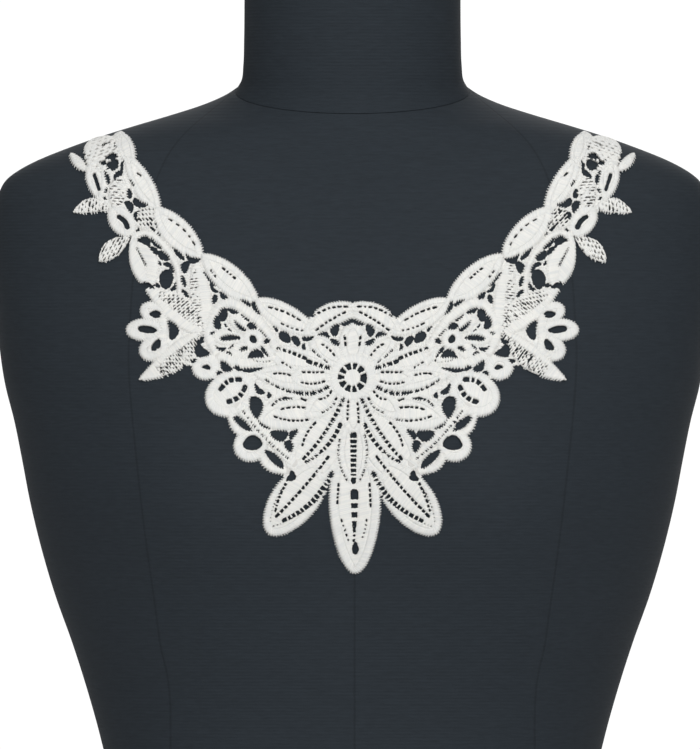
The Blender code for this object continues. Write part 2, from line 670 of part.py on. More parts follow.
def build_form():
    loft("form_torso", [form_ring(row) for row in metres(SECTIONS)], COVER_FINISH)
    neck = metres(NECK_SECTIONS)
    loft("form_neck", [form_ring(row) for row in neck], COVER_FINISH)
    top = neck[-1].copy()
    top[0] += SEAM_GAP
    cap_top = top.copy()
    cap_top[0] += NECK_CAP_THICKNESS
    loft("form_neck_cap", [form_ring(top), form_ring(cap_top)], BOARD_FINISH)
    foot = metres(SECTIONS)[0]
    board_top, board_foot = foot.copy(), foot.copy()
    board_top[0] = BASE_BOARD_THICKNESS
    board_foot[0] = 0
    loft("form_base_board", [form_ring(board_foot), form_ring(board_top)], BOARD_FINISH)


def main():
    for old in list(bpy.data.objects):
        bpy.data.objects.remove(old, do_unlink=True)
    build_form()
    build_lace(FormSurface())
    middle = bpy.data.objects.new("form_middle", None)
    middle.location = (0, SETBACK, 0)
    bpy.context.scene.collection.objects.link(middle)
    for body in bpy.context.scene.objects:
        if body.type == "MESH":
            body.parent = middle


if __name__ == "__main__":
    main()
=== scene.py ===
"""Embroidered lace neckline on its dress form, stitched thread by thread.

The lace is charted on squared paper, one half and the middle, and mirrored. The chart is sampled on a fine
grid that holds how deep in the work each point lies, how thick the work is there and which motif is
uppermost. A ground wall is cut from the grid, and satin threads are laid over it motif by motif. Both are
carried onto the form's skin.
"""

import json
from collections import namedtuple
from math import cos, log, pi, radians, sin

import bpy
import numpy as np
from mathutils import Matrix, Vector
from mathutils.geometry import delaunay_2d_cdt

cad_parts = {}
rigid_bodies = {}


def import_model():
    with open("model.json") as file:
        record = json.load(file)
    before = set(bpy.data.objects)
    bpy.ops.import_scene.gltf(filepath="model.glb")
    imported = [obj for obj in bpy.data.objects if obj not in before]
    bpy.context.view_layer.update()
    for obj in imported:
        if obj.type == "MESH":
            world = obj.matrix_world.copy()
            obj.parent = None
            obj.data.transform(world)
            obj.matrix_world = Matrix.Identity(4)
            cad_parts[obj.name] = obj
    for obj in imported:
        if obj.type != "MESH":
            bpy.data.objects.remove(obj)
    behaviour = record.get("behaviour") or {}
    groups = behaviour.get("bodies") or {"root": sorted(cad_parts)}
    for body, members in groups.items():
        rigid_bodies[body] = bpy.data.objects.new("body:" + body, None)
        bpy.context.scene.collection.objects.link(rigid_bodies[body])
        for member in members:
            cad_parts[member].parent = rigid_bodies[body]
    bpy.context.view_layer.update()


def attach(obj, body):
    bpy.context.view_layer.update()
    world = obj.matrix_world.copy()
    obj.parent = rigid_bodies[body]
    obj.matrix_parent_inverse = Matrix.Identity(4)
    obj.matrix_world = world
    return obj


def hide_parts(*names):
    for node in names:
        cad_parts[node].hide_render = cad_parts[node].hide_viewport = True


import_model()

bl_info = {
    "name": "Embroidered neckline",
    "version": (1, 0, 0),
    "blender": (4, 5, 0),
    "location": "3D View > Sidebar > Neckline",
    "description": "Builds a lace neckline, thread by thread, on a dress form",
    "category": "Object",
}

MM = 0.001
RANDOM_SEED = 7

# Squared paper: x runs right and y runs down, in squares. A square is a pixel of the photo.
PHOTO_WIDTH, PHOTO_HEIGHT = 700, 749
SQUARE = 0.52 * MM
MIDDLE_X = 352.5
FLOWER_Y = 378.0
FLOWER_HEIGHT = 403.0 * MM
CHART_LEFT, CHART_RIGHT = 60.0, 645.0
CHART_TOP, CHART_BOTTOM = 116.0, 584.0
BAR_WIDTH = 3.2
GROOVE_FLOOR = 0.85
EDGE_TEETH = (1.8, 0.8, 0.0)
WEB_TEETH = (0.7, 0.3, 0.0)
ROUGHNESS = 0.25
TRIM = 0.5
GAP_EASE = 0.45
CELL_EASE = -0.25
NET_SPREAD = (0.4, 1.3)
EMPTY_DEPTH = -9.0
LEAF_STEPS = 26
ROUND_STEPS = 44
RING_STEPS = 72
OPENING_STEPS = 10
SLIT_STEPS = 12
CELL_JITTER = 0.2
NET_ROW_SHIFT = 0.37
MOTIF_MARGIN, OPENING_MARGIN, SLIT_MARGIN = 3, 4, 5

# How the work swells inside its edges: reaches in squares, heights as shares of the padding.
HEIGHT_MARGIN = 0.3
SWELL_REACH = 3.5
CORE_REACH = 4.0
BORDER_SWELL = 0.92
BORDER_ROUNDNESS = 0.4
THIN_SWELL = {"bar": 0.6, "web": 0.3}

# The plain underside and how far the ground lies below its threads' sides.
UNDER_STEP = 6
UNDER_MARGIN = 1.5
GROUND_SINK = 0.06 * MM

# Satin threads: leans, samples and reaches in squares.
BORDER_LEAN = 0.3
SATIN_LEAN = 0.22
BAR_LEAN = 0.1
LEAF_LEAN = 0.55
TICK_REACH = 1.2
SAMPLE_STEP = 0.4
SHORTEST_RUN = 3
EDGE_DEPTH = 0.05
BORDER_SLACK = 0.2
BORDER_OVERLAP = 0.4
MITRE_SLOPE = 0.72

# One thread's strip: its section over a pitch, its pieces and its narrowed tips.
THREAD_HALF_WIDTH = 0.54
THREAD_ACROSS = (-1, -0.5, 0.5, 1)
THREAD_PROFILE = (-0.35, 0.8, 0.8, -0.35)
THREAD_STEP = 2.0
TIP_LENGTH = 0.28
TIP_WIDTH = 0.6
TIP_HEIGHT, TIP_RISE = 0.35, 0.5
CREST_SPREAD = 0.25
CORE_TONE, BORDER_TONE, TONE_SPREAD = 0.6, 0.4, 0.35
TWIST_SHIFT = 40
TWIST_PITCH = 0.6

# Form.
BUST_APEX_X = 82.0 * MM
BUST_APEX_HEIGHT = 338.0 * MM
BUST_FULLNESS = 20.0 * MM
BUST_WIDTH = 44.0 * MM
BUST_RISE = 50.0 * MM
NECK_SEAM_SLOPE = 0.24
RIDGE_BAND = 5.0 * MM
RIDGE_STEPS = 8
SETBACK = 5.87 * MM
RIB_PITCH = 1.7 * MM
SEAM_EDGES = (0.0002, 0.0008)

# Level sections of the form, in mm, lower in front by their slope. A "square" of 2 is an ellipse, and more
# is squarer.
Section = namedtuple("Section", "height half_width front back square slope")
SECTIONS = [
    Section(8.3, 158, 104, 101, 2.3, 0),
    Section(40, 162, 108, 105, 2.3, 0),
    Section(80, 158, 107, 103, 2.3, 0),
    Section(115, 147.5, 102, 97.5, 2.3, 0),
    Section(143, 136, 95.5, 90, 2.3, 0),
    Section(163, 129.6, 91, 86, 2.3, 0),
    Section(180, 127, 88.6, 84, 2.3, 0),
    Section(196, 127.8, 88.2, 83.5, 2.3, 0),
    Section(214, 131.8, 89.4, 84, 2.3, 0),
    Section(240, 139, 92, 85, 2.3, 0),
    Section(265, 147, 95, 87, 2.3, 0),
    Section(289, 155.6, 98, 89, 2.3, 0),
    Section(314, 163, 101, 91, 2.35, 0),
    Section(339, 169, 103, 93, 2.4, 0),
    Section(360, 173, 103, 95, 2.4, 0),
    Section(380, 177, 102, 96, 2.4, 0),
    Section(400, 182, 99, 97, 2.4, 0),
    Section(420, 185, 95, 98, 2.4, 0),
    Section(440, 187, 90, 98, 2.4, 0),
    Section(458, 188.5, 85, 97, 2.35, 0),
    Section(474, 189, 80, 95, 2.3, 0),
    Section(488, 188, 74, 91, 2.25, 0),
    Section(499, 185.5, 69, 86, 2.2, 0),
    Section(508, 180, 64, 81, 2.1, 0),
    Section(516, 167, 60, 76, 2.1, 0.02),
    Section(523, 150, 57, 72, 2.05, 0.04),
    Section(529, 133, 54.5, 68, 2, 0.06),
    Section(534.5, 115, 52.5, 65, 2, 0.08),
    Section(539.5, 97, 51, 62, 2, 0.11),
    Section(544, 81, 50, 60, 2, 0.15),
    Section(548.5, 69, 49.5, 58.5, 2, 0.19),
    Section(552.5, 61.5, 49, 57.5, 2, NECK_SEAM_SLOPE),
]
NECK_SECTIONS = [
    Section(552.8, 61.2, 48.7, 57.2, 2, NECK_SEAM_SLOPE),
    Section(558, 58.4, 48, 55.5, 2, 0.19),
    Section(567, 57.2, 48.5, 54, 2, 0.12),
    Section(580, 56.8, 50, 53, 2, 0.05),
    Section(600, 56.6, 52, 52.5, 2, 0),
    Section(624, 56.6, 53, 52.5, 2, 0),
]

# Motifs of the left half, in squares. A leaf runs from its root to its tip, bows to the left of that way,
# is widest at the share "fullest" of its length and ends blunt where "blunt" is small. Its edge is a satin
# border of the given width, or the threads cross it whole where that is 0. "layer" lifts it over others.
Leaf = namedtuple("Leaf", "name root_x root_y tip_x tip_y width bow fullest blunt border layer")
LEAVES = [
    Leaf("hook", 88, 172, 69, 153, 10, 1, 0.5, 0.7, 0, 0),
    Leaf("crown", 103, 176, 100, 134, 37, 0, 0.55, 0.4, 0, 0),
    Leaf("bud_1", 93, 161, 100, 200, 21, 0, 0.42, 0.6, 5, 1),
    Leaf("long_petal", 330, 458, 268, 533, 45, -1, 0.54, 0.5, 7, 0),
    Leaf("crown_petal", 121, 134, 131, 168, 16.5, 0, 0.45, 0.5, 4, 1),
    Leaf("crown_bud", 112, 145, 121.5, 129.5, 10, 0, 0.5, 0.6, 0, 0),
    Leaf("inner_petal_1", 127, 157, 158.5, 211, 21, -1, 0.5, 0.5, 5.5, 1),
    Leaf("inner_petal_2", 154.5, 209, 201, 257.5, 28, -0.5, 0.5, 0.5, 7, 2),
    Leaf("inner_petal_3", 202, 255, 258, 304, 27.5, -0.5, 0.5, 0.6, 6.5, 2),
    Leaf("scallop_1", 255, 301, 319, 335, 25, -0.5, 0.45, 0.6, 6, 1),
    Leaf("scallop_2", 303.5, 335, 363, 309, 23, 6.8, 0.5, 0.5, 5, 2),
    Leaf("net_leaf_1", 116, 211, 118, 175, 18, 0, 0.5, 0.6, 0, 0),
    Leaf("net_leaf_2", 112, 210, 72, 213, 15, -6, 0.5, 0.8, 0, 0),
    Leaf("net_leaf_3", 131, 237, 99, 262, 18, -2, 0.55, 0.75, 0, 0),
    Leaf("bud_3", 133, 235, 151, 287, 26.5, 1, 0.56, 0.55, 0, 1),
    Leaf("upright_leaf", 205, 337, 195, 258, 21, 0, 0.45, 0.7, 0, 0),
    Leaf("wing_upper", 204, 334, 145, 289, 28, -3.4, 0.42, 0.85, 0, 1),
    Leaf("wing_lower", 203, 332, 138, 381, 24, 4.5, 0.42, 0.85, 0, 1),
    Leaf("rosette_upper", 248, 335, 231, 314, 15, 0, 0.6, 0.55, 0, 0),
    Leaf("rosette_side", 247, 340, 213, 337, 15, 0, 0.6, 0.55, 0, 0),
    Leaf("rosette_lower", 250, 344, 230, 357, 15, 0, 0.6, 0.55, 0, 0),
    Leaf("outer_petal_1", 345, 374, 266, 351, 28, 2, 0.5, 0.6, 6, 0),
    Leaf("outer_petal_2", 345, 384, 254, 374, 25, 0, 0.55, 0.6, 6, 1),
    Leaf("outer_petal_3", 338, 402, 255, 420, 36, 0, 0.5, 0.6, 8, 0),
    Leaf("outer_petal_4", 345, 404, 288, 468, 38, 0, 0.5, 0.55, 8, 0),
    Leaf("outer_petal_5", 350, 410, 318, 482, 30, 0, 0.5, 0.55, 7, 1),
    Leaf("flower_diagonal_up", 343, 369, 311, 335, 26, 0, 0.55, 0.5, 6.5, 3),
    Leaf("flower_side", 342, 379, 290, 378, 25, 0, 0.5, 0.5, 6.5, 3),
    Leaf("flower_diagonal_down", 343, 388, 304, 417, 25, 0, 0.5, 0.5, 6.5, 3),
]
MIDDLE_LEAVES = [
    Leaf("middle_petal", 354.5, 446, 355.3, 573, 51, 0, 0.425, 0.485, 8, 0),
    Leaf("inner_middle_petal", 353.5, 410, 353.5, 486, 33, 0, 0.55, 0.5, 7, 2),
    Leaf("flower_up", 352.5, 366, 352.5, 323, 27, 0, 0.5, 0.45, 6.5, 3),
    Leaf("flower_down", 353, 390, 353, 435, 25, 0, 0.5, 0.45, 6, 3),
]

# Rounds are ellipses: half sizes along and across, turned clockwise by "turn" degrees.
Round = namedtuple("Round", "name x y along across turn border layer")
ROUNDS = [
    Round("net_bud", 147, 218, 14, 11, -15, 3, 0),
    Round("bud_2", 121.5, 221.5, 17.5, 11.5, 52, 8, 1),
    Round("fan_upper", 153, 312.5, 13, 10, 20, 8, 1),
    Round("fan_middle", 145, 330, 18.5, 11, 0, 9, 2),
    Round("fan_lower", 154, 349, 14.5, 12, -20, 8, 1),
    Round("rosette_ring", 253, 340, 10.5, 10.5, 0, 9, 2),
    Round("dot_ring", 206, 367, 13.8, 13, 0, 9, 1),
    Round("eye", 231, 394.5, 26, 21.5, -25, 8, 1),
    Round("outer_loop", 250.5, 446, 16.5, 15.5, 0, 8, 1),
]
MIDDLE_ROUNDS = [
    Round("flower_ring", 352.5, 378.3, 24, 24, 0, 9.5, 5),
]

# Bands follow a line of points at one width.
Band = namedtuple("Band", "name width layer points")
BANDS = [
    Band("stem", 6, 1, [(133, 235), (153, 236), (176, 265), (181, 304)]),
    Band("fan_arc", 10, 0, [(159, 303), (163, 331), (156, 358)]),
    Band("rosette_arch", 8.4, 1, [(217, 355), (208, 331), (226, 303), (258, 321), (276.5, 350)]),
    Band("rosette_foot", 9, -1, [(274, 356), (246, 364), (218, 356)]),
    Band("slanted_stem", 10.5, 1, [(238, 407), (293, 463)]),
    Band("outer_arc_1", 7, 0, [(230, 412), (236, 429), (249, 437)]),
    Band("outer_arc_2", 7, 0, [(259.5, 453), (269, 467), (286, 471.5)]),
]

# Bars are the thin wrapped threads between motifs: both ends.
Bar = namedtuple("Bar", "x1 y1 x2 y2")
BARS = [Bar(*row) for row in [
    (102, 160.5, 119, 160.5), (105.5, 159, 106, 169), (104, 169, 110, 173),
    (108, 172.5, 119, 170), (110.5, 172, 111.5, 184), (119, 159, 119.5, 171),
    (118, 171, 127, 170), (104, 187, 110, 186), (103, 195, 110, 194),
    (124, 199.5, 135, 198.5), (132, 187, 134.5, 212), (131, 211, 142, 211),
    (134, 219, 140, 220), (151, 236, 151, 250), (157, 246, 160, 256),
    (149, 247.5, 164, 249.5), (158, 262, 173, 260.5), (164, 261, 172, 276),
    (160, 270, 174, 271), (169, 290, 176, 278), (157, 284, 164, 292),
    (150, 289, 153, 283), (172, 247, 175, 262), (176, 261, 191, 261.5),
    (183, 252, 190, 268), (180, 275, 191, 274), (181, 289, 190, 288),
    (197, 345, 212, 345), (191, 357, 199, 362), (188, 364, 196, 366),
    (212, 294.5, 222, 294), (218, 292, 219, 305), (213, 305, 220, 304),
    (231, 296, 231, 303), (251, 298, 250, 314), (260, 312, 258, 322),
    (220, 304, 229.5, 323), (228, 306, 229, 316), (212, 330, 224, 331),
    (239, 308, 242, 318), (246, 322, 249, 333), (257, 321, 258, 332),
    (264, 338, 275, 336), (262, 345, 274, 346), (226, 352, 229, 361),
    (247, 347, 250, 362), (217, 345, 222, 349), (232, 361, 233, 376),
    (240.5, 364, 241, 376), (219, 360, 222, 376), (264, 364, 265, 376),
    (246, 395.5, 272, 396.5), (266, 391, 266, 400), (257, 381, 256, 390),
    (246, 409, 260, 421), (270, 430, 276, 441), (288, 426, 288.5, 443),
    (279, 445, 296, 439.5), (291, 452, 297, 447), (251, 431, 261, 437),
    (277, 330, 278, 347), (291.5, 330, 292, 350), (300, 332, 300.5, 352),
    (316, 332, 317, 342), (328, 326, 330.5, 340), (326, 337, 342, 336.5),
    (340.5, 314, 341, 330), (300, 343.5, 312, 343.5), (284, 470, 294, 484),
]]

# Webs are the thin grounds that join the motifs, each an outline of its corners. Gaps are cut from them.
Web = namedtuple("Web", "name corners")
WEBS = [
    Web("strap", [(84, 152), (98, 141), (112, 137), (128, 140), (131, 158), (148, 196), (160, 212),
                  (152, 232), (134, 237), (120, 232), (108, 214), (100, 206), (99, 196), (94, 172)]),
    Web("stem", [(134, 236), (150, 222), (165, 228), (201, 256), (207, 270), (212, 290), (208, 330),
                 (190, 322), (162, 297), (154, 289), (152, 284), (150, 262)]),
    Web("wings", [(160, 298), (200, 328), (200, 334), (158, 362), (162, 332)]),
    Web("dot", [(180, 348), (214, 332), (224, 380), (206, 379), (192, 366), (186, 366)]),
    Web("rosette", [(209, 304), (222, 298), (262, 300), (282, 332), (282, 374), (216, 378), (206, 346)]),
    Web("arch", [(206, 284), (222, 288), (256, 301), (276, 332), (258, 322), (226, 306), (208, 312)]),
    Web("scallops", [(256, 304), (300, 330), (330, 322), (352.5, 314), (352.5, 352), (300, 362), (262, 374)]),
    Web("eye", [(216, 376), (262, 368), (278, 384), (272, 424), (300, 430), (302, 466), (286, 472),
                (250, 427), (236, 410)]),
    Web("petals", [(262, 384), (300, 388), (334, 392), (334, 404), (272, 412)]),
    Web("arcs", [(232, 414), (242, 433), (260, 452), (268, 467), (287, 471), (302, 462), (246, 408)]),
    Web("long_root", [(280, 462), (306, 452), (350, 430), (350, 474), (332, 480), (298, 494), (285, 484)]),
]

# Openings cut through the webs and motifs. Each is a plain rounded form like a leaf's, from one end to the
# other, bowed to the left of that way.
Opening = namedtuple("Opening", "root_x root_y tip_x tip_y width bow fullest blunt", defaults=[0.5])
OPENINGS = [Opening(*row) for row in [
    (105.5, 160, 117, 157, 5.5, 1.5, 0.64), (99.5, 163.5, 105, 162, 4, -1.5, 0.56),
    (117.5, 161.5, 106, 167, 9, 2, 0.54), (123.5, 161.5, 122, 170, 2, -1.5, 0.53),
    (121.5, 171, 113.5, 178.5, 5, 0, 0.47), (104, 172, 107.5, 184.5, 3.5, 1, 0.56),
    (106.5, 188.5, 104.5, 193, 1.5, 0, 0.57), (103.5, 196.5, 105.5, 199.5, 1.5, -0.5, 0.65),
    (128, 189.5, 130, 198.5, 4.5, 0, 0.6), (125.5, 201.5, 131, 212.5, 6, 1.5, 0.44),
    (133.5, 200, 148, 205.5, 6, -2, 0.35), (138, 211.5, 135.5, 219.5, 3, -1.5, 0.65),
    (139, 229, 137, 232, 2, 0, 0.61), (137.5, 240.5, 149.5, 246, 8.5, 3.5, 0.53),
    (151.5, 238.5, 162, 248.5, 3, -1.5, 0.48), (149.5, 248, 156.5, 255, 4, 1.5, 0.51),
    (159, 252, 169.5, 259.5, 7, -1, 0.48), (164, 264, 174, 273, 3.5, 2.5, 0.35),
    (168, 270.5, 165.5, 289, 13, -0.5, 0.46), (173, 248, 184, 260, 4, 0, 0.6),
    (186.5, 254.5, 199.5, 260, 6, -3.5, 0.65), (188, 262.5, 184.5, 273.5, 7.5, -2, 0.45),
    (182, 276.5, 185, 287, 3.5, 0, 0.5), (182, 291, 188, 297.5, 3, 0.5, 0.35),
    (175.5, 283, 170.5, 290.5, 3, 2, 0.55), (144, 283.5, 152.5, 288.5, 4.5, 0, 0.4),
    (154, 285, 159.5, 287, 2.5, 0.5, 0.5), (159, 262, 160.5, 265.5, 1.5, 0, 0.5),
    (168, 321, 172, 340, 9.5, 4, 0.56), (150.5, 314.5, 161, 315.5, 6, 0, 0.57),
    (139, 329, 157, 331.5, 6, 0, 0.44), (160, 340, 153, 350.5, 7, 1, 0.58),
    (197, 343, 203, 337.5, 3.5, -2, 0.48), (197, 347, 210, 355.5, 10, -3, 0.39),
    (190.5, 361.5, 197, 361, 3.5, -0.5, 0.51), (203, 368, 210, 369.5, 3.5, 1, 0.57),
    (210.5, 334.5, 214.5, 333, 2, 0, 0.54), (210.5, 284, 217.5, 292.5, 2.5, -1.5, 0.65),
    (215.5, 295.5, 213, 304, 4.5, 0.5, 0.43), (220, 293, 226.5, 299.5, 4.5, 0, 0.62),
    (241, 300.5, 250, 306.5, 3, 1, 0.64), (253, 302, 260, 315, 3.5, -1, 0.35),
    (224.5, 308.5, 222.5, 321.5, 8.5, -0.5, 0.53), (228, 308, 238, 314, 4.5, -0.5, 0.58),
    (216.5, 316.5, 219.5, 329.5, 6.5, -1.5, 0.59), (234.5, 322, 246, 331.5, 4, -1, 0.55),
    (241.5, 315, 249.5, 321, 1.5, -1, 0.64), (247.5, 326.5, 256.5, 329, 7, 1, 0.47),
    (220.5, 340, 240.5, 339, 6, 1, 0.37), (252, 336.5, 255, 343.5, 5.5, -0.5, 0.51),
    (264.5, 343.5, 270, 341, 4, 1, 0.48), (216, 347, 225.5, 348.5, 3, -2.5, 0.65),
    (229, 349.5, 234, 345.5, 1.5, 0, 0.46), (226.5, 353, 231.5, 356, 1.5, 1, 0.35),
    (240, 351.5, 247, 348, 4.5, 0, 0.47), (248.5, 358.5, 263.5, 357.5, 8.5, 4, 0.56),
    (261, 347.5, 268.5, 358, 2, 0.5, 0.36), (221.5, 361.5, 231.5, 371.5, 7.5, -1.5, 0.53),
    (234, 367.5, 240.5, 371, 3.5, 1, 0.43), (242, 370, 263, 369, 3.5, -1, 0.35),
    (216.5, 374.5, 222, 373.5, 2.5, 1, 0.35), (273, 327, 277, 332, 1.5, 1, 0.65),
    (280.5, 333, 289.5, 342.5, 8.5, 0, 0.38), (293, 337, 298.5, 346, 6, 0.5, 0.46),
    (302, 338.5, 314.5, 337.5, 3.5, -1.5, 0.35), (304, 344.5, 304.5, 351, 2.5, -1, 0.47),
    (318, 336, 329, 338.5, 5, 2.5, 0.55), (338, 324.5, 334, 336.5, 7.5, -1.5, 0.54),
    (330.5, 340.5, 339.5, 345, 5.5, -0.5, 0.52), (340.5, 324, 352.5, 319.5, 5, -2, 0.59),
    (255, 383.5, 264, 394, 5, -2.5, 0.65), (268.5, 393, 268, 398, 3, 1, 0.57),
    (253, 397.5, 256.5, 419, 13, 2, 0.36), (234, 417.5, 251.5, 431.5, 7, 0.5, 0.39),
    (258, 420.5, 269.5, 428.5, 2.5, -2, 0.65), (270, 434, 287.5, 433.5, 11, -2.5, 0.53),
    (297.5, 431, 290.5, 440, 5.5, -2, 0.45), (287, 441.5, 290, 452.5, 8, 0.5, 0.4),
    (243.5, 446, 261.5, 444, 13.5, 2, 0.53), (264.5, 451, 282.5, 468.5, 7.5, 1.5, 0.56),
    (287, 480, 291.5, 471, 6, -3, 0.46),
]]
MIDDLE_OPENINGS = [Opening(*row) for row in [
    (355.5, 542, 355.5, 553.5, 5.5, 0, 0.6),
]]

# Slits are narrow openings along a bowed line: its ends and bow, the slit's width at both ends, the length of
# each open cell and the width of the threads that cross between them. Both are 0 where nothing crosses.
Slit = namedtuple("Slit", "name root_x root_y tip_x tip_y bow start end cell thread")
SLITS = [Slit(*row) for row in [
    ("bud_1", 94, 175.5, 99, 190.5, 0, 3.0, 2.6, 0, 0),
    ("bud_2", 119, 217.5, 127.5, 228, 1.5, 4.0, 4.6, 0, 0),
    ("bud_3", 137, 249, 146, 266, 0, 1.6, 2.4, 0, 0),
    ("crown", 101.5, 147.5, 109, 144, 0, 1.1, 1.1, 0, 0),
    ("crown_right", 114, 145, 116, 149, 0, 0.9, 0.9, 0, 0),
    ("crown_side", 84, 154, 86, 166, 0, 1.2, 1.2, 3, 2),
    ("inner_petal_1a", 130.5, 181, 134, 186.5, 0, 1.6, 1.6, 0, 0),
    ("inner_petal_1b", 137.5, 174, 140.5, 176.5, 0, 1.4, 1.4, 0, 0),
    ("inner_petal_2a", 156, 224, 157, 228, 0, 1.6, 1.6, 0, 0),
    ("inner_petal_2b", 151, 228, 160, 235.5, 0, 2.0, 2.0, 4, 2),
    ("inner_petal_2c", 169, 220, 195, 246, 3, 0.9, 0.9, 4, 4),
    ("inner_petal_3a", 204, 273, 209, 280, 0, 1.8, 1.8, 0, 0),
    ("inner_petal_3b", 211, 271, 216, 278, 0, 1.3, 1.3, 2.5, 2),
    ("inner_petal_3c", 223, 269, 235, 279, 0, 1.5, 1.5, 3, 1.6),
    ("scallop_1a", 269, 308, 300, 321, 1.5, 1.5, 1.2, 4, 1.8),
    ("scallop_1b", 281, 324, 303, 331.5, -1, 1.2, 1.2, 3, 2),
    ("scallop_2a", 313, 317.5, 347, 307.5, 3.5, 1.7, 1.5, 4, 1.6),
    ("scallop_2b", 316, 331, 345, 313, 1, 1.5, 1.6, 3.4, 1.6),
    ("rosette_c", 225, 325, 231, 332, 0, 1.6, 1.6, 3, 1.5),
    ("rosette_e", 259.5, 330.5, 266, 336.5, 0, 1.6, 1.4, 0, 0),
    ("rosette_foot", 253, 361, 270, 361, -1.5, 1.0, 1.0, 1.5, 1.8),
    ("eye_upper", 221, 390, 240, 380.5, 3.5, 4.2, 4.6, 4.4, 1.7),
    ("eye_lower", 245, 388, 229, 402.5, 3, 4.2, 4.6, 4.4, 1.7),
    ("stem_slit", 243, 412, 288, 459, -2.5, 1.9, 1.9, 4, 1.8),
    ("outer_1", 278, 349, 305, 359, 0.5, 2.4, 3.2, 3.6, 1.5),
    ("outer_1_wide", 308, 362, 328, 368.5, -0.5, 3.4, 4.6, 4.6, 1.6),
    ("outer_1_inner", 282, 363, 291, 369, 0, 1.4, 1.4, 3, 1.6),
    ("outer_2_inner", 274, 374.5, 290, 376, 1, 1.5, 1.5, 3, 1.3),
    ("outer_2", 265.5, 380, 296, 393, -2, 1.6, 3.0, 4, 1.4),
    ("outer_2_wide", 298, 393.5, 327, 388, -3, 4.4, 4.2, 5.4, 1.3),
    ("outer_3", 272, 407, 286, 399.5, 2, 1.6, 3.6, 3, 1.4),
    ("outer_3_end", 284, 399.5, 292, 399.5, 0, 3.2, 1.4, 0, 0),
    ("outer_3_tick", 301.5, 399.5, 306, 401, 0, 1.6, 1.4, 0, 0),
    ("outer_3_inner", 281, 410, 305, 408.5, 1.5, 1.4, 1.7, 3.4, 1.5),
    ("outer_3_low", 274, 417, 308, 420, -2.5, 1.4, 1.6, 3.4, 1.4),
    ("outer_4_upper", 315, 423, 302, 446, -2, 1.5, 1.5, 3, 1.5),
    ("outer_4", 343, 400, 303, 459, 3.5, 4.0, 2.2, 3.8, 1.5),
    ("outer_5", 340, 425, 306, 462, 4.5, 3.6, 2.8, 3.8, 1.5),
    ("diagonal_down_a", 331, 392, 319, 400, 2, 1.5, 1.5, 2.6, 1.4),
    ("diagonal_down_b", 321, 413, 336, 399, -2.5, 1.4, 1.8, 3, 1.4),
    ("diagonal_up_a", 322, 345, 334, 356, 1, 1.3, 1.3, 3, 1.6),
    ("diagonal_up_b", 313, 351, 320, 358, 0, 2.2, 1.5, 4, 1.4),
    ("diagonal_up_c", 324, 360, 327, 363, 0, 1.4, 1.4, 0, 0),
    ("side_a", 302.5, 373, 323, 373, 0, 1.5, 1.6, 3, 1.3),
    ("side_b", 301, 383, 324, 382, -2, 1.5, 1.6, 3, 1.3),
    ("up", 344.5, 337, 345.5, 346, 0, 1.6, 1.6, 4, 1.5),
    ("long_upper", 291, 475, 275, 511, -2, 2.4, 1.3, 3.4, 1.4),
    ("long_middle", 328, 457, 276, 516, 1.5, 1.9, 2.4, 4, 1.3),
    ("long_ladder", 331, 474, 283, 520, 6.5, 5.6, 3.0, 3.6, 1.4),
    ("needles_left", 281, 490, 270, 521, -2, 0.5, 0.5, 1.3, 2.1),
    ("needles_right", 273, 526, 322, 496, -3, 0.5, 0.5, 1.3, 2.1),
]]
MIDDLE_SLITS = [Slit(*row) for row in [
    ("down_a", 348, 401, 347, 420, 0, 1.5, 1.5, 3, 1.3),
    ("down_b", 358, 404, 359, 423, 0, 1.5, 1.5, 3, 1.3),
    ("inner_left", 339.5, 440, 347, 480, -4.5, 1.5, 1.5, 3, 1.4),
    ("inner_right", 365, 436, 360, 480, 4.5, 1.5, 1.5, 3, 1.4),
    ("ladder", 353.5, 435, 353.5, 481, 0, 6.6, 5.0, 3.3, 1.5),
    ("petal_left_a", 338, 484, 337, 503, 0, 1.5, 1.5, 3, 1.4),
    ("petal_left_b", 341, 519.5, 348, 540, 0, 1.3, 0.8, 2, 2.4),
    ("petal_right_a", 370, 484, 371, 506, 0, 1.5, 1.5, 3, 1.4),
    ("petal_right_b", 367, 519.5, 363, 537, 0.5, 1.3, 0.8, 2, 2.4),
    ("petal_dots", 354.5, 529, 354, 540.5, 0, 2.6, 2.0, 2.4, 2.0),
    ("petal_ladder", 354.5, 493.5, 354.5, 526, 0, 8.6, 3.8, 4.6, 3.6),
]]
FLOWER_GAP_RADIUS = 11.5
FLOWER_GAP_WIDTH = 5.8
FLOWER_SPOKES = 11
FLOWER_SPOKE_WIDTH = 2.0

# Nets are the loosely filled motifs: rows of short slits at a turn, in squares, and the side of the motif
# that they fill: -1 or 1, or 0 for both. "reach" is the share of the motif's length that is netted.
Net = namedtuple("Net", "name turn pitch gap cell thread margin side reach")
NETS = [
    Net("net_leaf_1", 4, 3.0, 0.8, 4.8, 2.8, 1.4, 0, 1),
    Net("net_leaf_2", 97, 3.4, 1.1, 3.6, 2.2, 1.8, 0, 1),
    Net("net_leaf_3", 118, 3.0, 1.0, 4.0, 2.4, 1.8, 0, 1),
    Net("net_bud", 48, 2.8, 0.9, 4.0, 2.6, 2.0, 0, 1),
    Net("upright_leaf", -6, 3.0, 0.6, 4.4, 2.6, 1.4, -1, 0.9),
    Net("wing_upper", -41, 2.8, 1.0, 3.8, 2.0, 1.6, 1, 0.8),
    Net("wing_lower", 53, 2.4, 0.8, 3.6, 1.8, 1.6, -1, 0.72),
    Net("crown", -20, 3.2, 0.45, 3.0, 4.0, 2.4, 0, 1),
]
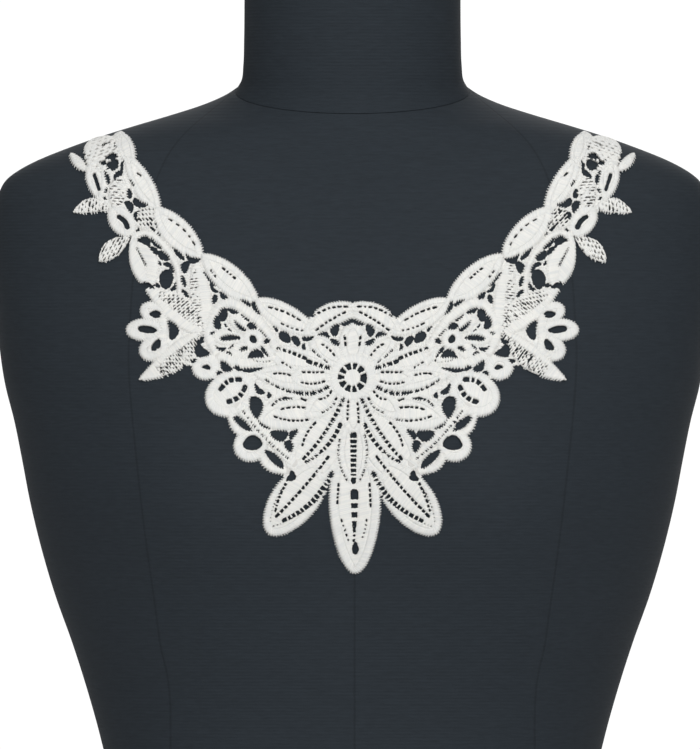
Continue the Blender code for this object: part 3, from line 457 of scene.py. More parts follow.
# The strap is its own piece above this line across its narrowest stretch.
STRAP_LINE = [(135, 290), (212, 247)]
FRONT_SPLIT_X = 300.0
PIECES = ["lace_strap_left", "lace_strap_right", "lace_front_left", "lace_front_middle", "lace_front_right"]
PIECE_NODES = ["lace_strap_left", "lace_strap_right", "lace_front", "lace_front", "lace_front"]

# Seams of the cover: height and x of each point, in mm, from the top. The side seam is mirrored.
PRINCESS_SEAM = [(553, 62), (520, 96), (470, 112), (430, 116), (398, 116), (330, 109), (270, 101), (210, 95),
                 (8, 108)]
MIDDLE_SEAM = [(330, 1), (8, 1)]

# Stage, in metres and watts. The world is brighter where the camera sees it.
Lamp = namedtuple("Lamp", "name place width power")
LAMPS = [
    Lamp("key", (1.0, -3.1, 2.7), 1.8, 66.0),
    Lamp("fill", (-0.8, -3.9, 1.3), 1.9, 44.0),
    Lamp("top", (0.0, 0.0, 6.0), 5.0, 80.0),
    Lamp("back", (0.5, 4.4, 2.2), 3.5, 68.0),
]
LAMP_AIM = (0, 0, 0.42)
WORLD_LIGHT = 0.19
WORLD_SEEN = 0.87
FLOOR_HALF_SIZE = 7.0
LACE_PLANE = -93 * MM
CAMERA_SENSOR = 36.0
CAMERA_REACH = 40.0

# A motif ready to chart, in squares. "line" is its middle line from root to tip.
Motif = namedtuple("Motif", "name outline line width border layer net")


class NecklineSettings(bpy.types.PropertyGroup):
    """Sizes and colours of the neckline and its form."""

    grid_step: bpy.props.FloatProperty(
        name="Chart grid", description="Distance between samples of the chart, in squares",
        default=0.74, min=0.3, max=3.0)
    clearance: bpy.props.FloatProperty(
        name="Clearance", description="Gap between the lace and the form",
        default=0.35 * MM, unit="LENGTH", subtype="DISTANCE")
    edge_thickness: bpy.props.FloatProperty(
        name="Edge thickness", description="Thickness of the work at its edges",
        default=0.5 * MM, unit="LENGTH", subtype="DISTANCE")
    padding: bpy.props.FloatProperty(
        name="Padding", description="How far a motif swells above its edge",
        default=0.95 * MM, unit="LENGTH", subtype="DISTANCE")
    layer_rise: bpy.props.FloatProperty(
        name="Layer rise", description="How far each layer lies above the one below",
        default=0.1 * MM, unit="LENGTH", subtype="DISTANCE")
    thread_pitch: bpy.props.FloatProperty(
        name="Thread pitch", description="Distance between neighbouring satin threads",
        default=0.46 * MM, unit="LENGTH", subtype="DISTANCE")
    thread_crest: bpy.props.FloatProperty(
        name="Thread crest", description="How far a thread's crest stands above its sides",
        default=0.17 * MM, unit="LENGTH", subtype="DISTANCE")
    thread_colour: bpy.props.FloatVectorProperty(
        name="Thread colour", description="Colour of the satin threads",
        default=(0.83, 0.83, 0.81), subtype="COLOR")
    ground_colour: bpy.props.FloatVectorProperty(
        name="Ground colour", description="Colour of the ground under the threads",
        default=(0.74, 0.73, 0.7), subtype="COLOR")
    cover_colour: bpy.props.FloatVectorProperty(
        name="Cover colour", description="Colour of the form's cloth cover",
        default=(0.021, 0.0277, 0.035), subtype="COLOR")
    board_colour: bpy.props.FloatVectorProperty(
        name="Board colour", description="Colour of the form's boards",
        default=(0.02, 0.02, 0.022), subtype="COLOR")
    cover_rows: bpy.props.IntProperty(
        name="Cover rows", description="Rings of the form's cover", default=200, min=40, max=600)
    cover_columns: bpy.props.IntProperty(
        name="Cover columns", description="Points round each ring of the cover",
        default=180, min=40, max=600)
    camera_distance: bpy.props.FloatProperty(
        name="Camera distance", description="Distance from the camera to the lace",
        default=14.0, unit="LENGTH", subtype="DISTANCE")


def smooth_rows(sections, heights):
    """Section rows in metres at the given heights, on smooth curves through the given ones."""
    rows = np.array(sections, float)
    rows[:, :4] *= MM
    at = rows[:, 0]
    k = np.clip(np.searchsorted(at, heights) - 1, 0, len(at) - 2)
    run = at[k + 1] - at[k]
    t = (heights - at[k]) / run
    made = [heights]
    for column in range(1, 6):
        value = rows[:, column]
        slope = np.gradient(value, at)
        made.append((2 * t**3 - 3 * t**2 + 1) * value[k] + (t**3 - 2 * t**2 + t) * run * slope[k]
                    + (3 * t**2 - 2 * t**3) * value[k + 1] + (t**3 - t**2) * run * slope[k + 1])
    return np.column_stack(made)


def between(grid, u, v):
    """Values between a grid's points, at the given rows and columns."""
    u = np.clip(u, 0, grid.shape[0] - 1.001)
    v = np.clip(v, 0, grid.shape[1] - 1.001)
    i, j = u.astype(int), v.astype(int)
    s, t = u - i, v - j
    if grid.ndim > 2:
        s, t = s[:, None], t[:, None]
    return ((1 - s) * ((1 - t) * grid[i, j] + t * grid[i, j + 1])
            + s * ((1 - t) * grid[i + 1, j] + t * grid[i + 1, j + 1]))


def nearest(values, lines, step):
    """Which of a grid's even lines lies nearest to each value."""
    return np.clip(np.rint((values - lines[0]) / step).astype(int), 0, len(lines) - 1)


def lengths_along(line):
    """How far along a line of points each of them lies."""
    return np.concatenate([[0], np.cumsum(np.hypot(*np.diff(line, axis=0).T))])


def bust(x, height):
    """How far the bust stands out in front of the plain section."""
    side = (np.abs(x) - BUST_APEX_X) / BUST_WIDTH
    rise = (height - BUST_APEX_HEIGHT) / BUST_RISE
    return BUST_FULLNESS * np.exp(-0.5 * (side**2 + rise**2))


def depth_at(rows, x, front):
    """Y of the form's front or back at x, for each section row."""
    height, half, ahead, behind, square, _ = (rows[..., k] for k in range(6))
    share = np.clip(1 - np.abs(x / half) ** square, 0, None) ** (1 / square)
    return -(ahead + bust(x, height)) * share if front else behind * share


def form_ring(row, count):
    """Points round one section of the form, from the right side past the front."""
    turn = 2 * pi * np.arange(count) / count
    x = row[1] * np.sign(np.cos(turn)) * np.abs(np.cos(turn)) ** (2 / row[4])
    rows = np.repeat(row[None], count, axis=0)
    y = np.where(turn < pi, depth_at(rows, x, True), depth_at(rows, x, False))
    y[0] = y[count // 2] = 0
    return np.column_stack([x, y, row[0] + row[5] * y])


def seen_place(points):
    """Where points of the chart lie as seen from the front, in metres: x and height."""
    return (points[:, 0] - MIDDLE_X) * SQUARE, (FLOWER_Y - points[:, 1]) * SQUARE + FLOWER_HEIGHT


class FormSurface:
    """The form's skin by x and by height as seen from the front; past the shoulder ridge it runs on over
    the back at the stretch that it has at the ridge."""

    XS = np.linspace(-160, 160, 321) * MM
    LEVELS = 900

    def __init__(self):
        heights = np.linspace(240 * MM, SECTIONS[-1].height * MM, self.LEVELS)
        rows = smooth_rows(SECTIONS, heights)
        self.seen = np.linspace(250, 580, 661) * MM
        self.table = np.stack([self.line_at(x, rows) for x in self.XS])

    def line_at(self, x, rows):
        inside = rows[rows[:, 1] > abs(x) + 0.05 * MM]
        at = np.full(len(inside), x)
        front_y, back_y = depth_at(inside, at, True), depth_at(inside, at, False)
        front = np.column_stack([front_y, inside[:, 0] + inside[:, 5] * front_y])
        back = np.column_stack([back_y, inside[:, 0] + inside[:, 5] * back_y])[::-1]
        line = np.concatenate([front, back])
        length = lengths_along(line)
        bend = int(np.argmax(line[:, 1] > line[:, 1].max() - RIDGE_BAND))
        before = bend - RIDGE_STEPS
        stretch = (length[bend] - length[before]) / (line[bend, 1] - line[before, 1])
        seen = np.where(np.arange(len(line)) <= bend, line[:, 1],
                        line[bend, 1] + (length - length[bend]) / stretch)
        return np.column_stack([np.full(len(self.seen), x), np.interp(self.seen, seen, line[:, 0]),
                                np.interp(self.seen, seen, line[:, 1])])

    def skin(self, x, up):
        return between(self.table, (x - self.XS[0]) / (self.XS[1] - self.XS[0]),
                       (up - self.seen[0]) / (self.seen[1] - self.seen[0]))

    def laid_out(self, x, up):
        """Flat places of points by x and height: their ways along the skin from its middle line and from
        the flower's height."""
        ways = []
        for axis, origin in ((0, self.XS.searchsorted(0)), (1, self.seen.searchsorted(FLOWER_HEIGHT))):
            steps = np.linalg.norm(np.diff(self.table, axis=axis), axis=2)
            way = np.cumsum(np.insert(steps, 0, 0, axis=axis), axis=axis)
            ways.append(way - np.take(way, [origin], axis=axis))
        i = nearest(x, self.XS, self.XS[1] - self.XS[0])
        j = nearest(up, self.seen, self.seen[1] - self.seen[0])
        return np.column_stack([way[i, j] for way in ways])

    def place(self, points, lift):
        """Points of the chart, in squares, on the skin and lifted off it."""
        x, up = seen_place(points)
        step = 1.5 * MM
        sideways = self.skin(x + step, up) - self.skin(x - step, up)
        upwards = self.skin(x, up + step) - self.skin(x, up - step)
        out = np.cross(sideways, upwards)
        out /= np.linalg.norm(out, axis=1)[:, None]
        placed = self.skin(x, up) + out * lift[:, None]
        placed[:, 1] += SETBACK
        return placed


def bowed_line(form, t):
    """Points at the given shares of the way from a form's root to its tip, and its left side."""
    root = np.array([form.root_x, form.root_y], float)
    run = np.array([form.tip_x, form.tip_y], float) - root
    left = np.array([run[1], -run[0]]) / np.hypot(*run)
    return root + t[:, None] * run + (4 * form.bow * t * (1 - t))[:, None] * left, left


def leaf_outline(leaf, steps=LEAF_STEPS):
    """Outline and middle line of a leaf."""
    t = (1 - np.cos(pi * np.arange(steps + 1) / steps)) / 2
    half = leaf.width / 2 * np.sin(pi * t ** (log(0.5) / log(leaf.fullest))) ** leaf.blunt
    axis, left = bowed_line(leaf, t)
    one = axis + half[:, None] * left
    other = axis - half[:, None] * left
    return np.concatenate([one, other[-2:0:-1]]), axis


def round_outline(shape):
    """Outline and long axis of a round."""
    turn = 2 * pi * np.arange(ROUND_STEPS) / ROUND_STEPS
    tilt = radians(shape.turn)
    x, y = shape.along * np.cos(turn), shape.across * np.sin(turn)
    outline = np.column_stack([shape.x + x * cos(tilt) - y * sin(tilt),
                               shape.y + x * sin(tilt) + y * cos(tilt)])
    end = np.array([cos(tilt), sin(tilt)]) * shape.along
    middle = np.array([shape.x, shape.y])
    return outline, np.array([middle - end, middle + end])


def smooth_line(points, step=2.0):
    """The points' line as a smooth curve of even short steps."""
    points = np.array(points, float)
    if len(points) < 3:
        return points
    ends = np.concatenate([[2 * points[0] - points[1]], points, [2 * points[-1] - points[-2]]])
    made = []
    for k in range(1, len(ends) - 2):
        count = max(int(np.hypot(*(ends[k + 1] - ends[k])) / step), 1)
        t = (np.arange(count) / count)[:, None]
        a, b, c, d = ends[k - 1:k + 3]
        made.append(0.5 * (2 * b + (c - a) * t + (2 * a - 5 * b + 4 * c - d) * t**2
                           + (3 * b - a - 3 * c + d) * t**3))
    return np.concatenate(made + [points[-1:]])


def mirror(points):
    """The points on the other side of the chart's middle line."""
    points = np.array(points, float)
    points[:, 0] = 2 * MIDDLE_X - points[:, 0]
    return points


def all_motifs():
    """Every motif of the whole lace, from the lowest to the uppermost."""
    nets = {net.name: net for net in NETS}
    half, middle = [], []
    for found, forms, outline_of in ((half, LEAVES, leaf_outline), (half, ROUNDS, round_outline),
                                     (middle, MIDDLE_LEAVES, leaf_outline),
                                     (middle, MIDDLE_ROUNDS, round_outline)):
        for form in forms:
            outline, axis = outline_of(form)
            found.append(Motif(form.name, outline, axis, 0, form.border, form.layer, nets.get(form.name)))
    for band in BANDS:
        half.append(Motif(band.name, None, smooth_line(band.points), band.width, 0, band.layer, None))
    for bar in BARS:
        line = np.array([(bar.x1, bar.y1), (bar.x2, bar.y2)], float)
        half.append(Motif("bar", None, line, BAR_WIDTH, 0, -2, None))
    for web in WEBS:
        corners = np.array(web.corners, float)
        low, high = corners.min(0), corners.max(0)
        half.append(Motif("web", corners, np.array([low, high]), 0, 0, -3, None))
    whole = half + middle
    for motif in half:
        outline = None if motif.outline is None else mirror(motif.outline)
        net = motif.net and motif.net._replace(turn=-motif.net.turn, side=-motif.net.side)
        whole.append(motif._replace(outline=outline, line=mirror(motif.line), net=net))
    return sorted(whole, key=lambda motif: motif.layer)


def outline_depth(points, outline):
    """Distance from each point to an outline, positive inside it."""
    best = np.full(len(points), np.inf)
    odd = np.zeros(len(points), bool)
    for a, b in zip(outline, np.roll(outline, -1, axis=0)):
        run = b - a
        share = np.clip(((points - a) @ run) / max(run @ run, 1e-12), 0, 1)
        gap = points - a - share[:, None] * run
        best = np.minimum(best, (gap**2).sum(1))
        crosses = (a[1] > points[:, 1]) != (b[1] > points[:, 1])
        rise = b[1] - a[1] if b[1] != a[1] else 1.0
        odd ^= crosses & (points[:, 0] < (points[:, 1] - a[1]) / rise * run[0] + a[0])
    best = np.sqrt(best)
    return np.where(odd, best, -best)


def along_line(points, line):
    """Distance from each point to a line of points, and how far along the line its nearest spot is."""
    best = np.full(len(points), np.inf)
    place = np.zeros(len(points))
    start = 0.0
    for a, b in zip(line[:-1], line[1:]):
        run = b - a
        length = np.hypot(*run)
        share = np.clip(((points - a) @ run) / max(run @ run, 1e-12), 0, 1)
        gap = np.hypot(*(points - a - share[:, None] * run).T)
        nearer = gap < best
        best = np.where(nearer, gap, best)
        place = np.where(nearer, start + share * length, place)
        start += length
    return best, place, start


class Chart:
    """The whole lace on a fine grid: how deep in the work each point lies, in squares, how thick the work
    is there, in metres, and which motif is uppermost."""

    def __init__(self, settings):
        self.settings = settings
        self.xs = np.arange(CHART_LEFT, CHART_RIGHT, settings.grid_step)
        self.ys = np.arange(CHART_TOP, CHART_BOTTOM, settings.grid_step)
        shape = (len(self.ys), len(self.xs))
        self.depth = np.full(shape, EMPTY_DEPTH)
        self.height = np.zeros(shape)
        self.owner = np.full(shape, -1)
        self.windows = []
        self.rng = np.random.default_rng(RANDOM_SEED)
        self.motifs = all_motifs()
        for n, motif in enumerate(self.motifs):
            self.add_motif(n, motif)
        self.cut_holes()
        self.cut_nets()
        self.depth += ROUGHNESS * self.rng.standard_normal(shape) - TRIM

    def window(self, points, margin):
        """The part of the grid round some points: its rows and columns, its grid points and its shape."""
        low, high = np.min(points, 0) - margin, np.max(points, 0) + margin
        rows = slice(*np.searchsorted(self.ys, [low[1], high[1]]))
        columns = slice(*np.searchsorted(self.xs, [low[0], high[0]]))
        x, y = np.meshgrid(self.xs[columns], self.ys[rows])
        return (rows, columns), np.column_stack([x.ravel(), y.ravel()]), x.shape

    def thickness(self, motif, inside):
        """How thick a motif is by its depth from the edge, in metres."""
        s = self.settings
        if motif.border:
            share = np.clip(inside / motif.border, 0, 1)
            ring = np.sin(pi * share) ** BORDER_ROUNDNESS
            core = np.sqrt(1 - (1 - np.clip((inside - motif.border) / CORE_REACH, 0, 1)) ** 2)
            ring = np.where(share > 0.5, GROOVE_FLOOR + (1 - GROOVE_FLOOR) * ring, ring)
            swell = np.where(inside < motif.border, BORDER_SWELL * ring,
                             BORDER_SWELL * GROOVE_FLOOR + (1 - GROOVE_FLOOR) * core)
        else:
            reach = min(motif.width / 2, SWELL_REACH) if motif.width else SWELL_REACH
            swell = np.sqrt(1 - (1 - np.clip(inside / reach, 0, 1)) ** 2)
            swell = THIN_SWELL.get(motif.name, 1.0) * swell
        return s.edge_thickness + s.padding * swell + s.layer_rise * motif.layer * np.clip(inside, 0, 1)

    def add_motif(self, n, motif):
        """Charts a motif: the work reaches further where it does, and it is uppermost where it is thicker."""
        reference = motif.line if motif.outline is None else motif.outline
        where, points, shape = self.window(reference, motif.width / 2 + MOTIF_MARGIN)
        if motif.outline is None:
            inside = motif.width / 2 - along_line(points, motif.line)[0]
        else:
            inside = outline_depth(points, motif.outline)
        inside = inside.reshape(shape)
        self.windows.append((where, inside))
        self.depth[where] = np.maximum(self.depth[where], inside)
        height = np.where(inside > -HEIGHT_MARGIN, self.thickness(motif, inside), 0)
        upper = height > self.height[where]
        self.height[where] = np.where(upper, height, self.height[where])
        self.owner[where] = np.where(upper, n, self.owner[where])

    def cut(self, where, opening):
        self.depth[where] = np.minimum(self.depth[where], -opening)

    def cut_holes(self):
        """Cuts the openings, the slits and the ring of gaps round the flower's centre."""
        gaps = [leaf_outline(gap, OPENING_STEPS)[0] for gap in OPENINGS]
        gaps += [mirror(outline) for outline in gaps]
        gaps += [leaf_outline(gap, OPENING_STEPS)[0] for gap in MIDDLE_OPENINGS]
        for outline in gaps:
            where, points, shape = self.window(outline, OPENING_MARGIN)
            self.cut(where, outline_depth(points, outline).reshape(shape) + GAP_EASE)
        share = np.linspace(0, 1, SLIT_STEPS + 1)
        slits = [(slit, bowed_line(slit, share)[0]) for slit in SLITS]
        slits += [(slit, mirror(line)) for slit, line in slits]
        slits += [(slit, bowed_line(slit, share)[0]) for slit in MIDDLE_SLITS]
        for slit, line in slits:
            self.cut_slit(line, slit.start, slit.end, slit.cell, slit.thread)
        turn = 2 * pi * np.arange(RING_STEPS + 1) / RING_STEPS
        ring = np.column_stack([np.cos(turn), np.sin(turn)]) * FLOWER_GAP_RADIUS
        period = 2 * pi * FLOWER_GAP_RADIUS / FLOWER_SPOKES
        self.cut_slit(ring + (MIDDLE_ROUNDS[0].x, MIDDLE_ROUNDS[0].y), FLOWER_GAP_WIDTH, FLOWER_GAP_WIDTH,
                      period - FLOWER_SPOKE_WIDTH, FLOWER_SPOKE_WIDTH)

    def cut_slit(self, line, width_at_start, width_at_end, cell_length, thread):
        """Cuts a slit along a line, as a row of cells where threads cross it."""
        where, points, shape = self.window(line, SLIT_MARGIN)
        gap, place, length = along_line(points, line)
        share = place / max(length, 1e-9)
        opening = (width_at_start + (width_at_end - width_at_start) * share) / 2 - gap
        if cell_length:
            count = max(round((length + thread) / (cell_length + thread)), 1)
            ends = np.linspace(0, length + thread, count + 1)
            ends[1:-1] += self.rng.uniform(-CELL_JITTER, CELL_JITTER, count - 1) * cell_length
            k = np.clip(np.searchsorted(ends, place, side="right") - 1, 0, count - 1)
            cell = np.minimum(place - ends[k], ends[k + 1] - thread - place)
            opening = np.minimum(opening, np.where(cell == 0, 0.5, cell) + CELL_EASE)
        self.cut(where, opening.reshape(shape))

    def cut_nets(self):
        """Cuts the nets' rows of short slits, each slit at a size of its own."""
        for n, motif in enumerate(self.motifs):
            net = motif.net
            if not net:
                continue
            where, inside = self.windows[n]
            x, y = np.meshgrid(self.xs[where[1]], self.ys[where[0]])
            along = x * cos(radians(net.turn)) + y * sin(radians(net.turn))
            across = y * cos(radians(net.turn)) - x * sin(radians(net.turn))
            row = np.floor(across / net.pitch)
            off_row = np.abs(across / net.pitch - row - 0.5) * net.pitch
            period = net.cell + net.thread
            shifted = (along + NET_ROW_SHIFT * period * row) / period
            off_cell = np.abs(shifted - np.floor(shifted) - 0.5) * period
            shares = self.rng.uniform(*NET_SPREAD, (97, 89))
            rows, columns = shares.shape
            share = shares[row.astype(int) % rows, np.floor(shifted).astype(int) % columns]
            opening = np.minimum(net.gap * share / 2 - off_row, net.cell * share / 2 - off_cell)
            opening = np.minimum(opening, inside - net.margin)
            start, run = motif.line[0], motif.line[-1] - motif.line[0]
            length = np.hypot(*run)
            beside = ((x - start[0]) * -run[1] + (y - start[1]) * run[0]) / length
            ahead = ((x - start[0]) * run[0] + (y - start[1]) * run[1]) / length
            if net.side:
                opening = np.minimum(opening, net.side * beside - 0.5)
            if net.reach < 1:
                opening = np.minimum(opening, net.reach * length - ahead)
            self.cut(where, np.where(self.owner[where] == n, opening, EMPTY_DEPTH))

    def at(self, field, points, corner=(0, 0)):
        """A field between its grid points, from its corner's row and column on."""
        step = self.settings.grid_step
        return between(field, (points[:, 1] - self.ys[corner[0]]) / step,
                       (points[:, 0] - self.xs[corner[1]]) / step)

    def inside_at(self, n, points):
        """Depth inside one motif."""
        (rows, columns), inside = self.windows[n]
        return self.at(inside, points, (rows.start, columns.start))

    def owner_at(self, points):
        """Which motif is uppermost at the grid point nearest to each point."""
        step = self.settings.grid_step
        return self.owner[nearest(points[:, 1], self.ys, step), nearest(points[:, 0], self.xs, step)]


def piece_of(points):
    """Which piece of the lace each point belongs to: 0 and 1 the straps, 2 to 4 the front from left."""
    left = points.copy()
    right_side = points[:, 0] > MIDDLE_X
    left[right_side, 0] = 2 * MIDDLE_X - left[right_side, 0]
    (ax, ay), (bx, by) = STRAP_LINE
    strap = (bx - ax) * (left[:, 1] - ay) - (by - ay) * (left[:, 0] - ax) < 0
    front = np.where(left[:, 0] > FRONT_SPLIT_X, 3, np.where(right_side, 4, 2))
    return np.where(strap, np.where(right_side, 1, 0), front)


def contour_cells(chart):
    """The work's area as polygons on the chart's grid: points, and lists of corners for each polygon."""
    depth = chart.depth
    inside = depth > 0
    tall, wide = depth.shape
    index = np.full((3, tall, wide), -1)
    x, y = np.meshgrid(chart.xs, chart.ys)
    index[0][inside] = np.arange(inside.sum())
    points = [np.column_stack([x[inside], y[inside]])]
    count = len(points[0])
    for k, (a, b) in enumerate(((np.s_[:, :-1], np.s_[:, 1:]), (np.s_[:-1, :], np.s_[1:, :])), 1):
        crossed = inside[a] != inside[b]
        share = (depth[a] / np.where(crossed, depth[a] - depth[b], 1))[crossed]
        share = np.clip(share, 0.06, 0.94)
        points.append(np.column_stack([(x[a][crossed] + share * (x[b] - x[a])[crossed]),
                                       (y[a][crossed] + share * (y[b] - y[a])[crossed])]))
        part = index[k][a]
        part[crossed] = count + np.arange(len(points[-1]))
        index[k][a] = part
        count += len(points[-1])
    corners = [(0, 0), (0, 1), (1, 1), (1, 0)]
    code = sum(inside[i:tall - 1 + i, j:wide - 1 + j].astype(int) << k for k, (i, j) in enumerate(corners))
    sides = [(1, 0, 0), (2, 0, 1), (1, 1, 0), (2, 0, 0)]
    polygons = []
    for case in range(1, 16):
        here = np.argwhere(code == case)
        if not len(here):
            continue
        turn = []
        for k in range(4):
            held, then = case >> k & 1, case >> (k + 1) % 4 & 1
            if held:
                turn.append((0, *corners[k]))
            if held != then:
                turn.append(sides[k])
        rows, columns = here.T
        polygons.append(np.column_stack([index[kind, rows + i, columns + j] for kind, i, j in turn]))
    return np.concatenate(points), polygons


def rim_of(polygons):
    """Sides used by one polygon only, in that polygon's sense."""
    starts = np.concatenate([p.ravel() for p in polygons])
    ends = np.concatenate([np.roll(p, -1, axis=1).ravel() for p in polygons])
    most = int(max(starts.max(), ends.max())) + 1
    forward, back = starts * most + ends, ends * most + starts
    alone = ~np.isin(forward, back)
    return starts[alone], ends[alone]


def within_rim(triangles, starts, ends, count):
    """Which triangles lie within the rim: those that hold a rim side in its own sense, and all that join
    them without crossing the rim."""
    sides = np.stack([triangles, np.roll(triangles, -1, axis=1)], -1)
    forward = (sides[..., 0] * count + sides[..., 1]).ravel()
    back = (sides[..., 1] * count + sides[..., 0]).ravel()
    own = np.isin(forward, starts * count + ends)
    other = np.isin(forward, ends * count + starts)
    order = np.argsort(forward)
    found = np.clip(np.searchsorted(forward[order], back), 0, len(order) - 1)
    joined = (forward[order[found]] == back) & ~own & ~other
    beyond = np.where(joined, order[found] // 3, len(triangles)).reshape(-1, 3)
    own, other = own.reshape(-1, 3).any(1), other.reshape(-1, 3).any(1)
    state = np.append(np.where(own, 1, np.where(other, -1, 0)), 0)
    while True:
        spread = np.where(state[:-1] == 0, np.sign(state[beyond].sum(1)), state[:-1])
        if (spread == state[:-1]).all():
            return spread > 0
        state[:-1] = spread


def ground_mesh(name, chart, surface, points, polygons):
    """A closed wall: the work's upper side, its rim and a plain underside."""
    s = chart.settings
    used, flat = np.unique(np.concatenate([p.ravel() for p in polygons]), return_inverse=True)
    sizes = [p.shape for p in polygons]
    splits = np.cumsum([a * b for a, b in sizes])[:-1]
    polygons = [part.reshape(shape) for part, shape in zip(np.split(flat.ravel(), splits), sizes)]
    points = points[used]
    starts, ends = rim_of(polygons)
    top = surface.place(points, s.clearance + chart.at(chart.height, points) - GROUND_SINK)
    rim, place = np.unique(np.concatenate([starts, ends]), return_inverse=True)
    low, high = points.min(0), points.max(0)
    inner = np.meshgrid(*(np.arange(low[k], high[k], UNDER_STEP) for k in (0, 1)))
    inner = np.stack(inner, -1).reshape(-1, 2)
    inner = inner[chart.at(chart.depth, inner) > UNDER_MARGIN]
    flat_points = np.concatenate([points[rim], inner])
    sides = place.reshape(2, -1).T
    found = delaunay_2d_cdt([Vector(p) for p in flat_points.tolist()], sides.tolist(), [], 0, 0.0)
    under_points = np.array([(p.x, p.y) for p in found[0]])
    under = np.array(found[2])
    bottom = surface.place(under_points, np.full(len(under_points), s.clearance))
    below = np.full(len(flat_points), -1)
    for new, olds in enumerate(found[3]):
        for old in olds:
            below[old] = new
    shift = len(top)
    foot_starts, foot_ends = below[place.reshape(2, -1)]
    a, b = (under_points[under[:, k]] - under_points[under[:, 0]] for k in (1, 2))
    turned = a[:, 0] * b[:, 1] - a[:, 1] * b[:, 0] < 0
    under[turned] = under[turned][:, ::-1]
    under = under[within_rim(under, foot_starts, foot_ends, len(under_points))]
    wall = np.column_stack([starts, ends, foot_ends + shift, foot_starts + shift])
    faces = [row for p in polygons for row in p[:, ::-1].tolist()]
    faces += (under + shift).tolist()
    faces += wall.tolist()
    return add_mesh(name, np.concatenate([top, bottom]), faces)


def add_mesh(name, points, faces):
    """A smooth-shaded body in the scene, from its points and faces."""
    mesh = bpy.data.meshes.new(name)
    mesh.from_pydata(points.tolist(), [], faces)
    mesh.update()
    mesh.shade_smooth()
    body = bpy.data.objects.new(name, mesh)
    bpy.context.scene.collection.objects.link(body)
    return body


def spots_along(line, length, at):
    """Places on a line of points, by how far along it they and its points lie."""
    return np.column_stack([np.interp(at, length, line[:, k]) for k in (0, 1)])


def line_ticks(line, pitch, closed=False):
    """Points at even steps along a line of points, and the line's unit run there."""
    if closed:
        line = np.concatenate([line, line[:1]])
    steps = np.hypot(*np.diff(line, axis=0).T)
    keep = np.concatenate([[True], steps > 1e-6])
    line = line[keep]
    length = lengths_along(line)
    at = np.arange(pitch / 2, length[-1], pitch)
    reach = np.clip(at[:, None] + [-TICK_REACH, TICK_REACH], 0, length[-1])
    ahead = spots_along(line, length, reach[:, 1]) - spots_along(line, length, reach[:, 0])
    return spots_along(line, length, at), ahead / np.maximum(np.hypot(*ahead.T), 1e-9)[:, None]


def threads_of(n, motif, chart, pitch):
    """Start, end and zone of each satin thread of a motif: zone 0 crosses it or its core, 1 its border."""
    made = []
    if motif.outline is None:
        spots, ahead = line_ticks(motif.line, pitch)
        across = np.column_stack([-ahead[:, 1], ahead[:, 0]]) * motif.width / 2
        lean = ahead * motif.width * BAR_LEAN
        return [(spots - across - lean, spots + across + lean, 0)]
    reach = np.ptp(motif.outline, axis=0).max()
    start, run = motif.line[0], motif.line[-1] - motif.line[0]
    run = run / np.hypot(*run)
    if not motif.border and not motif.net:
        spots, ahead = line_ticks(motif.line, pitch)
        for side in (-1, 1):
            out = side * np.column_stack([-ahead[:, 1], ahead[:, 0]]) + LEAF_LEAN * ahead
            made.append((spots, spots + out * reach / 2, 0))
        return made
    lean = SATIN_LEAN if motif.border else 0.0
    if motif.net:
        turn = radians(motif.net.turn)
        across = np.array([cos(turn), sin(turn)])
    else:
        across = np.array([-run[1], run[0]]) + lean * run
    across = across / np.hypot(*across)
    side = np.array([-across[1], across[0]])
    middle = motif.outline.mean(0)
    offsets = np.arange(-reach / 2 - 4, reach / 2 + 4, pitch)
    spots = middle + offsets[:, None] * side
    made.append((spots - across * reach, spots + across * reach, 0))
    if motif.border:
        spots, ahead = line_ticks(motif.outline, pitch, True)
        inward = np.column_stack([-ahead[:, 1], ahead[:, 0]])
        probe = chart.inside_at(n, spots + inward) < chart.inside_at(n, spots - inward)
        inward[probe] *= -1
        ends = spots + inward * (motif.border + BORDER_OVERLAP) + ahead * motif.border * BORDER_LEAN
        made.append((spots, ends, 1))
    return made


def thread_runs(n, motif, chart, pitch):
    """The stretches of a motif's threads that show: pairs of ends, and their zones."""
    runs = []
    teeth = WEB_TEETH if motif.name in ("bar", "web") else EDGE_TEETH
    for starts, ends, zone in threads_of(n, motif, chart, pitch):
        length = np.hypot(*(ends - starts).T)
        count = np.maximum((length / SAMPLE_STEP).astype(int), 2) + 1
        owner = np.repeat(np.arange(len(starts)), count)
        first = np.cumsum(count) - count
        share = (np.arange(count.sum()) - first[owner]) / (count[owner] - 1)
        points = starts[owner] + share[:, None] * (ends - starts)[owner]
        inside = chart.inside_at(n, points)
        shows = (chart.owner_at(points) == n) & (inside > EDGE_DEPTH)
        shows &= chart.at(chart.depth, points) > EDGE_DEPTH
        if zone:
            shows &= inside > MITRE_SLOPE * share * length[owner] - BORDER_SLACK
        elif motif.border:
            shows &= inside > motif.border - BORDER_SLACK
        for k in range(len(starts)):
            here = shows[first[k]:first[k] + count[k]]
            if not here.any():
                continue
            change = np.flatnonzero(np.diff(np.concatenate([[0], here.astype(int), [0]])))
            for a, b in change.reshape(-1, 2):
                if b - a < SHORTEST_RUN:
                    continue
                p, q = points[first[k] + a], points[first[k] + b - 1]
                if zone or not motif.border:
                    over = (p - q) / np.hypot(*(p - q)) * teeth[k % len(teeth)]
                    p = p + over
                    q = q if zone else q - over
                runs.append((p, q, zone))
    return runs


